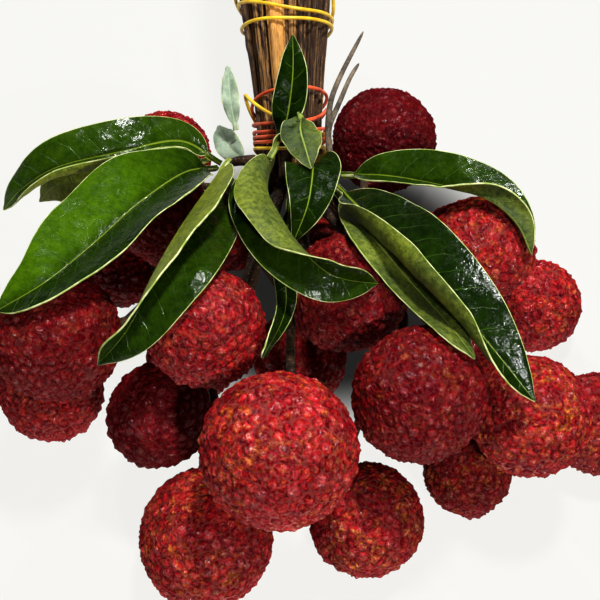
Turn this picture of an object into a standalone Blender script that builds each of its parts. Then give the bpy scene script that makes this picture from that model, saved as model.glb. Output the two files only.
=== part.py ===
"""A tied bunch of lychees, lying on its fruit, with its leaves and its sheaf of cut stalks.

Lengths are in millimetres until an object is made. The fruit lie towards -Y, the cut ends towards +Y.
"""

import heapq
import math

import bmesh
import bpy
import numpy as np
from mathutils import Vector
from mathutils.bvhtree import BVHTree

MM = 0.001

# Air between neighbouring pieces
GAP = 0.35

# Fruit: centre, radius, and how much longer it is along its stalk than across
FRUIT = {
    "fruit_01": (-5, -55.3, 60, 19.7, -0.02),
    "fruit_02": (-25, -60.6, 17.5, 19.2, 0.03),
    "fruit_03": (18, -54.5, 14.6, 16.3, 0.00),
    "fruit_04": (30, -38, 56, 17.6, -0.04),
    "fruit_05": (61, -35, 38, 16.9, 0.02),
    "fruit_06": (47, -39, 11.3, 13.0, 0.00),
    "fruit_07": (85, -25, 13.8, 15.5, 0.03),
    "fruit_08": (71, 15, 12.9, 14.6, 0.00),
    "fruit_09": (48, 11, 48, 16.9, 0.10),
    "fruit_10": (27, 72.8, 20.5, 17.6, 0.02),
    "fruit_11": (13, -4, 50, 16.8, 0.00),
    "fruit_12": (-24, -22, 62, 16.2, 0.02),
    "fruit_13": (-64, -18, 51, 18.0, 0.03),
    "fruit_14": (-72, -14, 14.3, 16.0, -0.02),
    "fruit_15": (-37.5, -32.5, 34, 15.0, 0.02),
    "fruit_16": (-38, 25, 44, 14.3, 0.00),
    "fruit_17": (-43, 70, 16, 15.2, 0.02),
    "fruit_18": (-57, 30, 12.3, 14.0, 0.00),
    "fruit_19": (47, -5, 18, 14.0, 0.00),
    "fruit_20": (0, -3, 12.9, 14.6, 0.00),
    "fruit_21": (-32, -3, 12.5, 14.2, 0.00),
    "fruit_22": (10, 31, 12.9, 14.6, 0.00),
    "fruit_23": (-21, 44, 12.7, 14.4, 0.00),
    "fruit_24": (44, 34, 12.5, 14.2, 0.00),
}
# Stalks reach the fruit from inside the pile, from about this point
HUB = np.array([-3.0, 12.0, 30.0])
HIDDEN = ("fruit_19", "fruit_20", "fruit_21", "fruit_22", "fruit_23", "fruit_24")
TUBERCLES = 56
TUBERCLES_HIDDEN = 38
TUBERCLE_HEIGHT = 0.9

# Sheaf of stalks: its neck, its cut end, and its stalks' ring at both
NECK = np.array([-2.7, 44.0, 46.0])
CUT_END = np.array([-6.4, 164.1, 80.5])
FLARE_LENGTH = 85.0
RING_AT_NECK = 7.4
RING_GROWTH = 5.2
STALK_AT_NECK = 2.0
STALK_GROWTH = 1.35
BRANCH = 1.25
FRONT = -7.0

# Each stalk: its angle and share of the ring radius at the neck, and the fruit that it carries
STALKS = {
    "stalk_01": (315, 0.38, ("fruit_11", "fruit_01")),
    "stalk_02": (225, 0.38, ("fruit_15", "fruit_02")),
    "stalk_03": (45, 0.38, ("fruit_04", "fruit_03", "fruit_06")),
    "stalk_04": (36, 1.00, ("fruit_05", "fruit_07")),
    "stalk_05": (0, 1.00, ("fruit_09", "fruit_08")),
    "stalk_06": (324, 1.00, ("fruit_24", "fruit_10")),
    "stalk_07": (135, 0.38, ("fruit_12", "fruit_20")),
    "stalk_08": (180, 1.00, ("fruit_13", "fruit_14")),
    "stalk_09": (216, 1.00, ("fruit_16", "fruit_18")),
    "stalk_10": (252, 1.00, ("fruit_23", "fruit_17", "fruit_21")),
    "stalk_11": (288, 1.00, ("fruit_22", "fruit_19")),
}
LEAF_TWIGS = {
    "leaf_twig_left": (144, ((-12, 39, 53), (-17, 40, 51.5), (-21, 41, 49))),
    "leaf_twig_right": (72, ((1.5, 36.5, 55.5), (5.5, 35, 55.5), (9.5, 34, 52.5))),
}
# Two thin broken twigs beside the sheaf
TWIG_LONG = ((9, 37, 53), (7.6, 42, 60), (8, 48, 65), (8.8, 51, 67), (12.8, 61, 68), (18.5, 73, 70))
TWIG_SHORT = ((7.8, 44, 61.5), (9.2, 46, 63), (11.8, 52, 65), (14.5, 59.5, 66), (17, 64, 66))
TWIG_STEP = 6.0

# Lattice on which the stalks' ways through the pile are found
LATTICE = 2.5
LATTICE_LOW = np.array([-95.0, -80.0, 2.5])
LATTICE_SHAPE = (76, 70, 30)
STALK_IN_PILE = 1.6
STEP_IN_PILE = 3.0

# Leaves, lowest first: middle rib, half width, turn about the rib, then fold and curl of each half in degrees
# The two powers of a blade's outline, at its stalk and at its tip, say where it is widest
LEAVES = {
    "leaf_03": dict(
        rib=((-26, 46, 45), (-37, 37, 50), (-54, 32, 52), (-69, 34, 48), (-76, 34, 40)),
        half=8.5, roll=180, left=(5, 0), right=(5, 0)),
    "leaf_02": dict(
        rib=((-23, 42.5, 47), (-34, 42.7, 57), (-50, 35.5, 61), (-67, 32, 59), (-78, 30, 52), (-85, 28, 44)),
        half=9.4, left=(0, (60, 120, 150, 150, 120, 60)), right=(10, -25)),
    "leaf_13": dict(
        rib=((-19, 55.8, 46), (-20.5, 62.3, 52), (-21.5, 72, 56)),
        half=2.6),
    "leaf_06": dict(
        rib=((-16, 48, 41), (-21, 54, 40), (-25, 64, 38)),
        half=4.0),
    "leaf_14": dict(
        rib=((-3, 27, 50), (-4, 4, 54), (-4, -12, 54), (-10, -23, 48)),
        half=3.2),
    "leaf_01": dict(
        rib=((-24, 38.5, 50), (-32, 29, 60), (-43, 14, 66), (-53, 1, 67), (-65, -10, 65), (-79, -15, 58)),
        half=15, roll=(20, 30, 32, 32, 30, 25), left=(30, -10), right=(32, -15)),
    "leaf_04": dict(
        rib=((-20, 38, 54), (-25, 20, 64), (-31, 1, 72), (-36, -15, 76), (-42, -28, 72), (-50, -34, 64)),
        half=14, left=(5, -10), right=((100, 112, 112, 105, 80, 40), 10)),
    "leaf_12": dict(
        rib=((10, 33, 46), (18, 15, 53), (28, -5, 59), (37, -20, 62), (44, -30, 60)),
        half=8, left=(5, 0), right=((20, 40, 40, 30, 10), 10)),
    "leaf_10": dict(
        rib=((12, 36, 50), (24, 29.5, 58), (39, 24.5, 60), (51.5, 21.5, 58), (60, 17.5, 52), (65, 13, 43)),
        half=9.5, left=(5, -15), right=((60, 65, 75, 110, 130, 120), 10)),
    "leaf_11": dict(
        rib=((10, 31, 52), (19, 12, 62), (30, -9, 70), (42, -25, 70), (58, -42, 60)),
        half=12.5, left=(10, -15), right=((0, 20, 30, 30, 10), (20, 120, 150, 130, 40))),
    "leaf_07": dict(
        rib=((3, 34, 60), (3.5, 24, 68.5), (2, 12, 68), (-2, 5, 60)),
        half=7.6, left=(5, 0), right=(5, 0), widest=(0.4, 1.0)),
    "leaf_05": dict(
        rib=((-8, 38, 56), (-9, 19, 66), (-6, 7, 72), (-1, -4, 74), (6, -11, 72), (12, -12, 69),
             (20, -10, 64)),
        half=11.5, left=((60, 95, 100, 90, 65, 55, 30), (60, 80, 80, 70, 10, 0, 0)), right=(5, 0)),
    "leaf_08": dict(
        rib=((-8.4, 31, 64), (-6, 36, 65), (-3.6, 41.5, 68), (-2, 50, 76), (-2, 61.5, 80)),
        half=4.8, roll=(-140, -115, -20, 0, 0), left=(15, 0), right=(15, 0)),
    "leaf_09": dict(
        rib=((0, 46, 65), (0, 37, 69), (1.5, 28.5, 71), (3, 25, 67)),
        half=5.6, roll=180, left=(0, 0), right=(12, 0)),
}
# Two small leaves at the neck that stand where they are, clear of the rest
LEAVES_ASIDE = ("leaf_13", "leaf_06")
LEAF_ROWS = 41
LEAF_COLUMNS = 6
ROW_STEP = 4
COLUMN_STEP = 3
LEAF_THICKNESS = 0.7
# Leaves are raised along their lines to this point, high over the front of the bunch
LIFT_POINT = np.array([0.0, -185.5, 336.8])
FACING = np.array([0.0, -0.53, 0.85])
LEAF_OVER_FRUIT = 1.6
LEAF_OVER_LEAF = 2.5
LEAF_OVER_STALK = 1.2
LEAF_OVER_SHEAF = 4.2

# Bands: half thickness, and keys of angle round the sheaf, place along Y, and layer over the stalks
BAND_RADIUS = 0.62
BANDS = {
    "band_yellow_upper": (
        (180, 93.4, 0), (90, 84.6, 0), (60, 84.8, 0), (0, 87.4, 0), (-90, 90.5, 0), (-180, 85.2, 0),
        (-270, 81.6, 0), (-315, 82.8, 0), (-360, 85.2, 0), (-425, 86, 0), (-440, 86, 1), (-525, 97.5, 1),
        (-540, 100, 0), (-630, 104, 0), (-680, 100, 0), (-700, 95, 0), (-720, 89.8, 0), (-810, 93.2, 0),
        (-900, 93.4, 0)),
    "band_yellow_lower": (
        (180, 65.6, 1), (120, 54.2, 1), (90, 50.5, 1), (60, 48.9, 1), (0, 49.3, 1),
        (-45, 48.4, 0), (-180, 48.2, 0), (-225, 45, 0), (-270, 43.4, 0), (-315, 45, 0), (-345, 47.2, 0),
        (-400, 46.6, 0), (-420, 47, 1), (-435, 48.3, 2), (-480, 55.4, 2), (-500, 58.8, 1), (-540, 65.6, 1)),
    "band_orange_loop": (
        (180, 59.9, 0), (150, 61.1, 0), (90, 61.6, 0), (45, 62.6, 0), (0, 63.1, 0), (-90, 61, 0),
        (-180, 55.2, 0), (-225, 52.4, 0), (-270, 50.9, 0), (-315, 53.4, 0), (-360, 60, 0), (-385, 60.4, 0),
        (-400, 60.3, 1), (-470, 59.9, 1), (-490, 59.9, 0), (-540, 59.9, 0)),
    "band_orange_wraps": tuple(
        (180 - 45 * step, 50.0 + 0.1875 * step - 4.6 * max(0.0, math.sin(math.radians(180 - 45 * step))), 0)
        for step in range(21)) + (
            (-740, 53.9, 0), (-760, 53.9, 1), (-860, 50.0, 1), (-880, 50.0, 0), (-900, 50.0, 0)),
}
BAND_STEP = 20


def unit(vector):
    return vector / np.linalg.norm(vector)


def directions(count):
    """Unit vectors spread evenly on a golden spiral."""
    k = np.arange(count) + 0.5
    z = 1 - 2 * k / count
    angle = k * math.pi * (3 - math.sqrt(5))
    across = np.sqrt(1 - z * z)
    return np.stack([across * np.cos(angle), across * np.sin(angle), z], axis=1)


def frame_from(axis):
    """Three unit vectors, the last one along the axis."""
    helper = np.array([1.0, 0.0, 0.0]) if abs(axis[0]) < 0.8 else np.array([0.0, 1.0, 0.0])
    side = unit(np.cross(helper, axis))
    return np.stack([side, np.cross(axis, side), axis])


CENTRES = np.array([row[:3] for row in FRUIT.values()], float)
REACH = np.array([row[3] * (1 + 0.6 * max(row[4], 0)) for row in FRUIT.values()])
NAMES = list(FRUIT)


def room(points):
    """Distance from each point to the nearest fruit's skin."""
    away = np.linalg.norm(points[:, None] - CENTRES[None], axis=2) - REACH[None]
    return away.min(axis=1)


def stalk_direction(name):
    """Direction of a fruit's stalk end: the open direction nearest to the hub."""
    index = NAMES.index(name)
    centre = CENTRES[index]
    wanted = unit(HUB - centre)
    tries = directions(400)
    ends = centre + tries * (REACH[index] + 3.2)
    others = np.delete(np.arange(len(NAMES)), index)
    away = np.linalg.norm(ends[:, None] - CENTRES[others][None], axis=2) - REACH[others][None]
    is_open = (away.min(axis=1) > 2.2) & (ends[:, 2] > 3)
    score = tries @ wanted - 10 * ~is_open
    return tries[score.argmax()]


def skin_radius(radius, tall, toward_stalk):
    """Distance from a fruit's centre to its skin, by the cosine of the angle to its stalk."""
    dimple = 0.09 * np.exp((toward_stalk - 1) / 0.05)
    return radius * (1 + tall * (1.5 * toward_stalk ** 2 - 0.9) - dimple)


def new_object(name, mesh, material):
    obj = bpy.data.objects.new(name, mesh)
    BUNCH_PARTS.objects.link(obj)
    obj.parent = BUNCH
    mesh.materials.clear()
    mesh.materials.append(material)
    return obj


def material(name, colour, roughness):
    made = bpy.data.materials.new(name)
    made.use_nodes = True
    shader = made.node_tree.nodes["Principled BSDF"]
    shader.inputs["Base Color"].default_value = (*colour, 1.0)
    shader.inputs["Roughness"].default_value = roughness
    shader.inputs["Metallic"].default_value = 0.0
    return made


def fruit(name, skin):
    """A fruit: points spread on its skin, joined by a hull, with a tubercle raised from every face."""
    x, y, z, radius, tall = FRUIT[name]
    centre = np.array([x, y, z], float)
    axis = stalk_direction(name)
    count = TUBERCLES_HIDDEN if name in HIDDEN else TUBERCLES
    spread = directions(count) @ frame_from(axis)
    low = skin_radius(radius - TUBERCLE_HEIGHT, tall, spread @ axis)
    points = centre + spread * low[:, None]
    bm = bmesh.new()
    for point in points:
        bm.verts.new(point * MM)
    bmesh.ops.convex_hull(bm, input=bm.verts)
    bmesh.ops.recalc_face_normals(bm, faces=bm.faces)
    raised = bmesh.ops.poke(bm, faces=bm.faces[:])
    for vert in raised["verts"]:
        toward = unit(np.array(vert.co) / MM - centre)
        high = skin_radius(radius, tall, toward @ axis)
        vert.co = Vector((centre + toward * high) * MM)
    stand_flat(bm)
    mesh = bpy.data.meshes.new(name)
    bm.to_mesh(mesh)
    bm.free()
    new_object(name, mesh, skin)


def stand_flat(bm):
    """Cut what reaches below the surface that the bunch lies on, which leaves a small flat spot."""
    if min(vert.co.z for vert in bm.verts) >= 0:
        return
    everything = bm.verts[:] + bm.edges[:] + bm.faces[:]
    bmesh.ops.bisect_plane(bm, geom=everything, plane_co=(0, 0, 0), plane_no=(0, 0, 1), clear_inner=True)
    rim = [edge for edge in bm.edges if edge.is_boundary]
    bmesh.ops.holes_fill(bm, edges=rim)
    bmesh.ops.triangulate(bm, faces=[face for face in bm.faces if len(face.verts) > 3])
    bmesh.ops.recalc_face_normals(bm, faces=bm.faces)


def smooth_step(value):
    value = np.clip(value, 0, 1)
    return value * value * (3 - 2 * value)


SHEAF_AXIS = unit(CUT_END - NECK)
SHEAF_LENGTH = float(np.linalg.norm(CUT_END - NECK))
SHEAF_RIGHT = unit(np.cross(SHEAF_AXIS, [0, 0, 1]))
SHEAF_UP = np.cross(SHEAF_RIGHT, SHEAF_AXIS)


def sheaf_point(along, angle, radius):
    turn = math.radians(angle)
    return NECK + SHEAF_AXIS * along + radius * (SHEAF_RIGHT * math.cos(turn) + SHEAF_UP * math.sin(turn))


def ring_radius(along):
    return RING_AT_NECK + RING_GROWTH * smooth_step(along / FLARE_LENGTH)


def stalk_radius(along):
    return STALK_AT_NECK + STALK_GROWTH * smooth_step(along / FLARE_LENGTH)


SHEAF_STATIONS = (SHEAF_LENGTH, 104, 86, 70, 54, 40, 26, 12, 0, FRONT)


def sheaf_run(angle, share, seed):
    """Centre line and radii of one stalk in the sheaf, from its cut end to the front of the neck."""
    chance = np.random.default_rng(seed)
    lean = chance.uniform(-1.5, 1.5)
    trim = chance.uniform(-7, 0)
    points, radii = [], []
    for along in SHEAF_STATIONS:
        here = along + trim if along == SHEAF_LENGTH else along
        loose = smooth_step((here - 8) / 60)
        turn = angle + lean * loose + chance.uniform(-0.3, 0.3) * loose
        out = share * ring_radius(here) + chance.uniform(-0.3, 0.3) * loose
        points.append(sheaf_point(here, turn, out))
        radii.append(float(stalk_radius(here)) * (1 if share > 0.9 else 0.88))
    return points, radii


class Lattice:
    """Points in and round the pile, with the clearance of each one."""

    def __init__(self):
        index = np.indices(LATTICE_SHAPE).reshape(3, -1).T
        points = LATTICE_LOW + index * LATTICE
        self.clear = np.minimum(room(points), points[:, 2]).reshape(LATTICE_SHAPE)

    def cell(self, point):
        index = np.rint((np.asarray(point) - LATTICE_LOW) / LATTICE).astype(int)
        return tuple(int(i) for i in np.clip(index, 0, np.array(LATTICE_SHAPE) - 1))

    def place(self, cell):
        return LATTICE_LOW + np.array(cell) * LATTICE

    def fill(self, balls):
        """Take the room that the balls fill; each row is a centre and a radius."""
        for *centre, radius in balls:
            reach = int(radius / LATTICE) + 4
            low = [max(0, i - reach) for i in self.cell(centre)]
            high = [min(n, i + reach + 1) for i, n in zip(self.cell(centre), LATTICE_SHAPE)]
            box = tuple(slice(a, b) for a, b in zip(low, high))
            axes = [np.arange(a, b) for a, b in zip(low, high)]
            index = np.stack(np.meshgrid(*axes, indexing="ij"), axis=-1)
            away = np.linalg.norm(LATTICE_LOW + index * LATTICE - centre, axis=-1) - radius
            self.clear[box] = np.minimum(self.clear[box], away)

    def route(self, start, goals, radius):
        """Shortest roomy way from the start to any goal point."""
        need = radius + GAP + 0.8
        short = np.clip(need - self.clear, 0, None)
        cost = 1 + 3 * short ** 2
        wall = self.clear < -1.2
        ends = {self.cell(goal): goal for goal in goals}
        target = np.array([self.place(cell) for cell in ends])
        first = self.cell(start)
        steps = [(a - 1, b - 1, c - 1) for a, b, c in np.ndindex(3, 3, 3) if (a, b, c) != (1, 1, 1)]
        steps = [(step, LATTICE * math.hypot(*step)) for step in steps]
        best = {first: 0.0}
        came = {}
        queue = [(0.0, first)]
        done = set()
        while queue:
            _, cell = heapq.heappop(queue)
            if cell in done:
                continue
            done.add(cell)
            if cell in ends:
                way = [ends[cell]]
                while cell in came:
                    cell = came[cell]
                    way.append(self.place(cell))
                way.reverse()
                return np.array(way)
            for step, length in steps:
                other = (cell[0] + step[0], cell[1] + step[1], cell[2] + step[2])
                if min(other) < 0 or any(o >= n for o, n in zip(other, LATTICE_SHAPE)) or other in done:
                    continue
                if wall[other] and other not in ends:
                    continue
                price = best[cell] + length * float(cost[other])
                if price < best.get(other, 1e9):
                    best[other] = price
                    came[other] = cell
                    ahead = float(np.linalg.norm(target - self.place(other), axis=1).min())
                    heapq.heappush(queue, (price + ahead, other))
        raise ValueError("no way through for a stalk")


def tie_room():
    """Balls that keep later stalks out of the sheaf and off its bands."""
    core = [[*sheaf_point(along, 0, 0), ring_radius(along) + 4.6] for along in np.arange(12, 75, 3.0)]
    rim = [[*sheaf_point(along, angle, RING_AT_NECK + 5.2), 2.6]
           for along in (-4, 0, 4, 8) for angle in range(0, 360, 20)]
    return np.array(core + rim)


def resample(points, spacing):
    points = np.asarray(points, float)
    length = np.concatenate([[0], np.cumsum(np.linalg.norm(np.diff(points, axis=0), axis=1))])
    count = max(2, int(round(length[-1] / spacing)) + 1)
    at = np.linspace(0, length[-1], count)
    return np.stack([np.interp(at, length, points[:, k]) for k in range(3)], axis=1)


def relax(points, radius, laid, held_start, held_end):
    """Smooth a way and push it clear of the fruit and of the stalks already laid."""
    points = resample(points, STEP_IN_PILE)
    balls = np.vstack([CENTRES, laid[:, :3]])
    keep = np.concatenate([REACH, laid[:, 3]]) + radius + GAP + 0.35
    free = slice(held_start, len(points) - held_end)
    for _ in range(260):
        middle = (points[:-2] + points[2:]) / 2
        moved = points.copy()
        moved[1:-1] += 0.5 * (middle - points[1:-1])
        offset = moved[:, None] - balls[None]
        away = np.linalg.norm(offset, axis=2)
        push = np.clip(keep[None] - away, 0, None) / np.maximum(away, 0.1)
        moved += 0.6 * (offset * push[..., None]).sum(axis=1)
        moved[:, 2] = np.maximum(moved[:, 2], radius + 0.4)
        points[free] = moved[free]
    return points


def tube(name, points, radii, closed=False, sides_level=2):
    """A tube mesh swept along a line of points, with its ends closed."""
    curve = bpy.data.curves.new(name, "CURVE")
    curve.dimensions = "3D"
    curve.bevel_depth = MM
    curve.bevel_resolution = sides_level
    curve.use_fill_caps = not closed
    line = curve.splines.new("POLY")
    line.points.add(len(points) - 1)
    line.use_cyclic_u = closed
    for knot, point, radius in zip(line.points, points, radii):
        knot.co = (*(np.asarray(point) * MM), 1.0)
        knot.radius = radius
    guide = bpy.data.objects.new(name + "_line", curve)
    bpy.context.scene.collection.objects.link(guide)
    bpy.context.view_layer.update()
    depsgraph = bpy.context.evaluated_depsgraph_get()
    mesh = bpy.data.meshes.new_from_object(guide.evaluated_get(depsgraph))
    bpy.data.objects.remove(guide)
    bpy.data.curves.remove(curve)
    bm = bmesh.new()
    bm.from_mesh(mesh)
    bmesh.ops.remove_doubles(bm, verts=bm.verts, dist=0.00002)
    bmesh.ops.recalc_face_normals(bm, faces=bm.faces)
    bm.to_mesh(mesh)
    bm.free()
    mesh.name = name
    return mesh


def thin_out(points, radii, bend=0.25):
    """Drop the points that a nearly straight line passes anyway."""
    keep = [0]
    for index in range(1, len(points) - 1):
        start = points[keep[-1]]
        line = points[index + 1] - start
        between = points[keep[-1] + 1:index + 1] - start
        share = np.clip(between @ line / (line @ line), 0, 1)
        if np.linalg.norm(between - share[:, None] * line, axis=1).max() > bend:
            keep.append(index)
    keep.append(len(points) - 1)
    return points[keep], np.asarray(radii)[keep]


def union(obj, mesh):
    """Join another closed mesh to an object with a Boolean."""
    other = bpy.data.objects.new(obj.name + "_branch", mesh)
    CUTTERS.objects.link(other)
    other.parent = BUNCH
    other.hide_render = True
    other.display_type = "WIRE"
    join = obj.modifiers.new("branch", "BOOLEAN")
    join.operation = "UNION"
    join.solver = "EXACT"
    join.object = other


def stalk_end(name):
    """Point and outward direction where a branch meets its fruit."""
    index = NAMES.index(name)
    direction = stalk_direction(name)
    radius, tall = FRUIT[name][3:]
    skin = skin_radius(radius, tall, 1.0)
    return CENTRES[index] + direction * (skin + GAP + 0.1), direction


def as_balls(points, radius):
    """Rows of centre and radius along a line."""
    return np.column_stack([points, np.full(len(points), float(radius))])


def leaf_twig(name, run, bark):
    """A stalk of the sheaf that ends in a short twig at the leaves' feet; returns the twig's room."""
    points, radii = run
    way = resample(np.vstack([points[-1:], LEAF_TWIGS[name][1]]), 4.0)[1:]
    sizes = np.concatenate([radii, np.linspace(1.9, 1.2, len(way))])
    new_object(name, tube(name, np.vstack([points, way]), sizes), bark)
    return as_balls(way, STALK_IN_PILE)


def fruit_stalk(name, run, ends, lattice, others, bark):
    """A stalk from its cut end to its first fruit, and a branch to each other fruit; returns its room."""
    points, radii = run
    carried = STALKS[name][2]
    first, direction = ends[carried[0]]
    way = lattice.route(points[-1], [first + direction * 2.5], STALK_IN_PILE)
    way = np.vstack([points[-2:-1], points[-1:], way[1:], first[None]])
    way = relax(way, STALK_IN_PILE, others, 3, 2)
    line, sizes = thin_out(way, np.linspace(radii[-2], BRANCH, len(way)))
    line = np.vstack([points[:-2], line])
    body = new_object(name, tube(name, line, np.concatenate([radii[:-2], sizes])), bark)
    own = as_balls(way, STALK_IN_PILE + 0.1)
    for fruit_name in carried[1:]:
        last, direction = ends[fruit_name]
        forks = own[4:-2, :3] if len(own) > 8 else own[2:-1, :3]
        branch = lattice.route(last + direction * 2.5, list(forks), BRANCH)
        branch = relax(np.vstack([last[None], branch]), BRANCH, others, 2, 1)
        line, sizes = thin_out(branch, np.full(len(branch), BRANCH))
        union(body, tube(name + "_to_" + fruit_name, line, sizes))
        own = np.vstack([own, as_balls(branch, BRANCH)])
    return own


def stalks(bark):
    """Lay the sheaf and every stalk's branches, and return the room that they fill."""
    angles = {name: row[:2] for name, row in STALKS.items()}
    angles.update({name: (row[0], 1.0) for name, row in LEAF_TWIGS.items()})
    runs = {name: sheaf_run(*place, seed) for seed, (name, place) in enumerate(angles.items(), 11)}
    filled = {name: as_balls(resample(points[-4:], 2.0), STALK_AT_NECK) for name, (points, _) in runs.items()}
    for name in LEAF_TWIGS:
        filled[name] = np.vstack([filled[name], leaf_twig(name, runs[name], bark)])
    ends = {fruit_name: stalk_end(fruit_name) for fruit_name in FRUIT}
    stubs = {name: np.array([*(end + direction * 1.5), BRANCH]) for name, (end, direction) in ends.items()}
    guard = tie_room()
    lattice = Lattice()
    for balls in (guard, *filled.values(), np.array(list(stubs.values())) - [0, 0, 0, BRANCH * 0.4]):
        lattice.fill(balls)
    for name, (_, _, carried) in STALKS.items():
        others = [balls for other, balls in filled.items() if other != name]
        others.append(np.array([stub for fruit_name, stub in stubs.items() if fruit_name not in carried]))
        own = fruit_stalk(name, runs[name], ends, lattice, np.vstack([*others, guard]), bark)
        filled[name] = np.vstack([filled[name], own])
        lattice.fill(own)
    return np.vstack(list(filled.values()))


def broken_stalk(wood):
    """A bare, split stalk on top of the sheaf, broken off short of the bands at the neck."""
    stations = np.array([SHEAF_LENGTH - 4, 104, 84, 66, 50, 36, 24, 16, 11])
    turns = np.interp(stations, (11, 60, 125), (108, 110, 107))
    points = [sheaf_point(s, a, float(ring_radius(s))) for s, a in zip(stations, turns)]
    radii = [3.2, 3.2, 3.1, 3.0, 2.8, 2.5, 2.2, 1.6, 0.6]
    new_object("broken_stalk", tube("broken_stalk", points, radii), wood)


def thin_twigs(bark):
    """Two thin broken twigs that stand off beside the sheaf from one foot; returns the room they fill."""
    long_way = resample(TWIG_LONG, TWIG_STEP)
    short_way = resample(TWIG_SHORT, TWIG_STEP)
    long_sizes = np.linspace(1.1, 0.6, len(long_way))
    short_sizes = np.linspace(0.9, 0.6, len(short_way))
    obj = new_object("thin_twigs", tube("thin_twigs", long_way, long_sizes), bark)
    union(obj, tube("thin_twigs_side", short_way, short_sizes))
    return np.column_stack([np.vstack([long_way, short_way]), np.concatenate([long_sizes, short_sizes])])


def spline(points, count):
    """Smooth line through the points, evenly spaced, with the share of its length at each given point."""
    given = np.asarray(points, float)
    ends = np.vstack([2 * given[0] - given[1], given, 2 * given[-1] - given[-2]])
    line, knots = [], [0]
    for index in range(1, len(ends) - 2):
        a, b, c, d = ends[index - 1:index + 3]
        for t in np.linspace(0, 1, 24, endpoint=False):
            bend = (2 * a - 5 * b + 4 * c - d) * t ** 2 + (3 * b - a - 3 * c + d) * t ** 3
            line.append(0.5 * (2 * b + (c - a) * t + bend))
        knots.append(len(line))
    line = np.array(line + [given[-1]])
    length = np.concatenate([[0], np.cumsum(np.linalg.norm(np.diff(line, axis=0), axis=1))])
    at = np.linspace(0, length[-1], count)
    even = np.stack([np.interp(at, length, line[:, k]) for k in range(3)], axis=1)
    return even, length[np.array(knots)] / length[-1]


def leaf_sheet(rib, half, roll=0, left=(15, -15), right=(15, -15), widest=(0.7, 0.85)):
    """Grid of points on a leaf, from its stalk to its tip and from its left edge to its right edge."""
    line, knots = spline(rib, LEAF_ROWS)
    share = np.linspace(0, 1, LEAF_ROWS)

    def along(value):
        if isinstance(value, tuple):
            return np.interp(share, knots, value)
        return np.full(LEAF_ROWS, float(value))

    ahead = np.gradient(line, axis=0)
    ahead /= np.linalg.norm(ahead, axis=1)[:, None]
    face = unit(FACING) - (ahead @ unit(FACING))[:, None] * ahead
    face /= np.linalg.norm(face, axis=1)[:, None]
    side = np.cross(ahead, face)
    turn = np.radians(along(roll))[:, None]
    across = side * np.cos(turn) - face * np.sin(turn)
    up = face * np.cos(turn) + side * np.sin(turn)
    blade = np.clip((share - 0.07) / 0.93, 0, 1)
    width = blade ** widest[0] * (1 - blade) ** widest[1]
    width = np.maximum(half * width / width.max(), 0.8)
    grid = np.zeros((LEAF_ROWS, 2 * LEAF_COLUMNS + 1, 3))
    grid[:, LEAF_COLUMNS] = line
    for sign, (fold, curl) in ((-1, left), (1, right)):
        first, more = np.radians(along(fold)), np.radians(along(curl))
        edge = line.copy()
        for column in range(1, LEAF_COLUMNS + 1):
            angle = (first + more * (column - 0.5) / LEAF_COLUMNS)[:, None]
            step = (width / LEAF_COLUMNS)[:, None]
            edge = edge + step * (sign * across * np.cos(angle) + up * np.sin(angle))
            wave = 0.6 * (column / LEAF_COLUMNS) ** 2 * np.sin(6 * math.pi * share + sign)
            wave *= np.minimum(1, 1.5 * width / half)
            grid[:, LEAF_COLUMNS + sign * column] = edge + up * wave[:, None]
    return grid


def grid_faces(rows, columns):
    faces = []
    for row in range(rows - 1):
        for column in range(columns - 1):
            corner = row * columns + column
            faces.append((corner, corner + 1, corner + columns + 1, corner + columns))
    return faces


def lifted(grid, balls, below):
    """Raise a leaf towards LIFT_POINT until it is clear of the balls and of the leaves below it."""
    rows, columns = grid.shape[:2]
    points = grid.reshape(-1, 3)
    reach = np.linalg.norm(points - LIFT_POINT, axis=1)
    ray = (points - LIFT_POINT) / reach[:, None]
    offset = balls[:, :3] - LIFT_POINT
    middle = ray @ offset.T
    inside = balls[:, 3] ** 2 - (offset ** 2).sum(axis=1) + middle ** 2
    entry = np.where(inside > 0, middle - np.sqrt(np.maximum(inside, 0)), 1e6)
    limit = entry.min(axis=1)
    eye = Vector(LIFT_POINT)
    for tree, _ in below:
        for index, direction in enumerate(ray):
            distance = tree.ray_cast(eye, Vector(direction))[3]
            if distance is not None:
                limit[index] = min(limit[index], distance - LEAF_OVER_LEAF)
    faces = grid_faces(rows, columns)
    need = np.maximum(reach - limit, 0).reshape(rows, columns)
    for _ in range(4):
        lift = need.copy()
        for _ in range(60):
            wide = np.pad(lift, 1, mode="edge")
            mean = (wide[:-2, 1:-1] + wide[2:, 1:-1] + wide[1:-1, :-2] + wide[1:-1, 2:]) / 4
            lift = np.maximum(need, mean)
        raised = points - ray * lift.reshape(-1, 1)
        tree = BVHTree.FromPolygons([Vector(p) for p in raised], faces)
        flat = need.reshape(-1)
        for _, low in below:
            for point in low.reshape(-1, 3):
                away = np.linalg.norm(point - LIFT_POINT)
                _, _, face, distance = tree.ray_cast(eye, Vector((point - LIFT_POINT) / away))
                if face is not None and distance > away - LEAF_OVER_LEAF:
                    for corner in faces[face]:
                        lacking = distance - away + LEAF_OVER_LEAF
                        flat[corner] = max(flat[corner], lift.reshape(-1)[corner] + lacking)
        need = flat.reshape(rows, columns)
    return raised.reshape(grid.shape), tree


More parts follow.
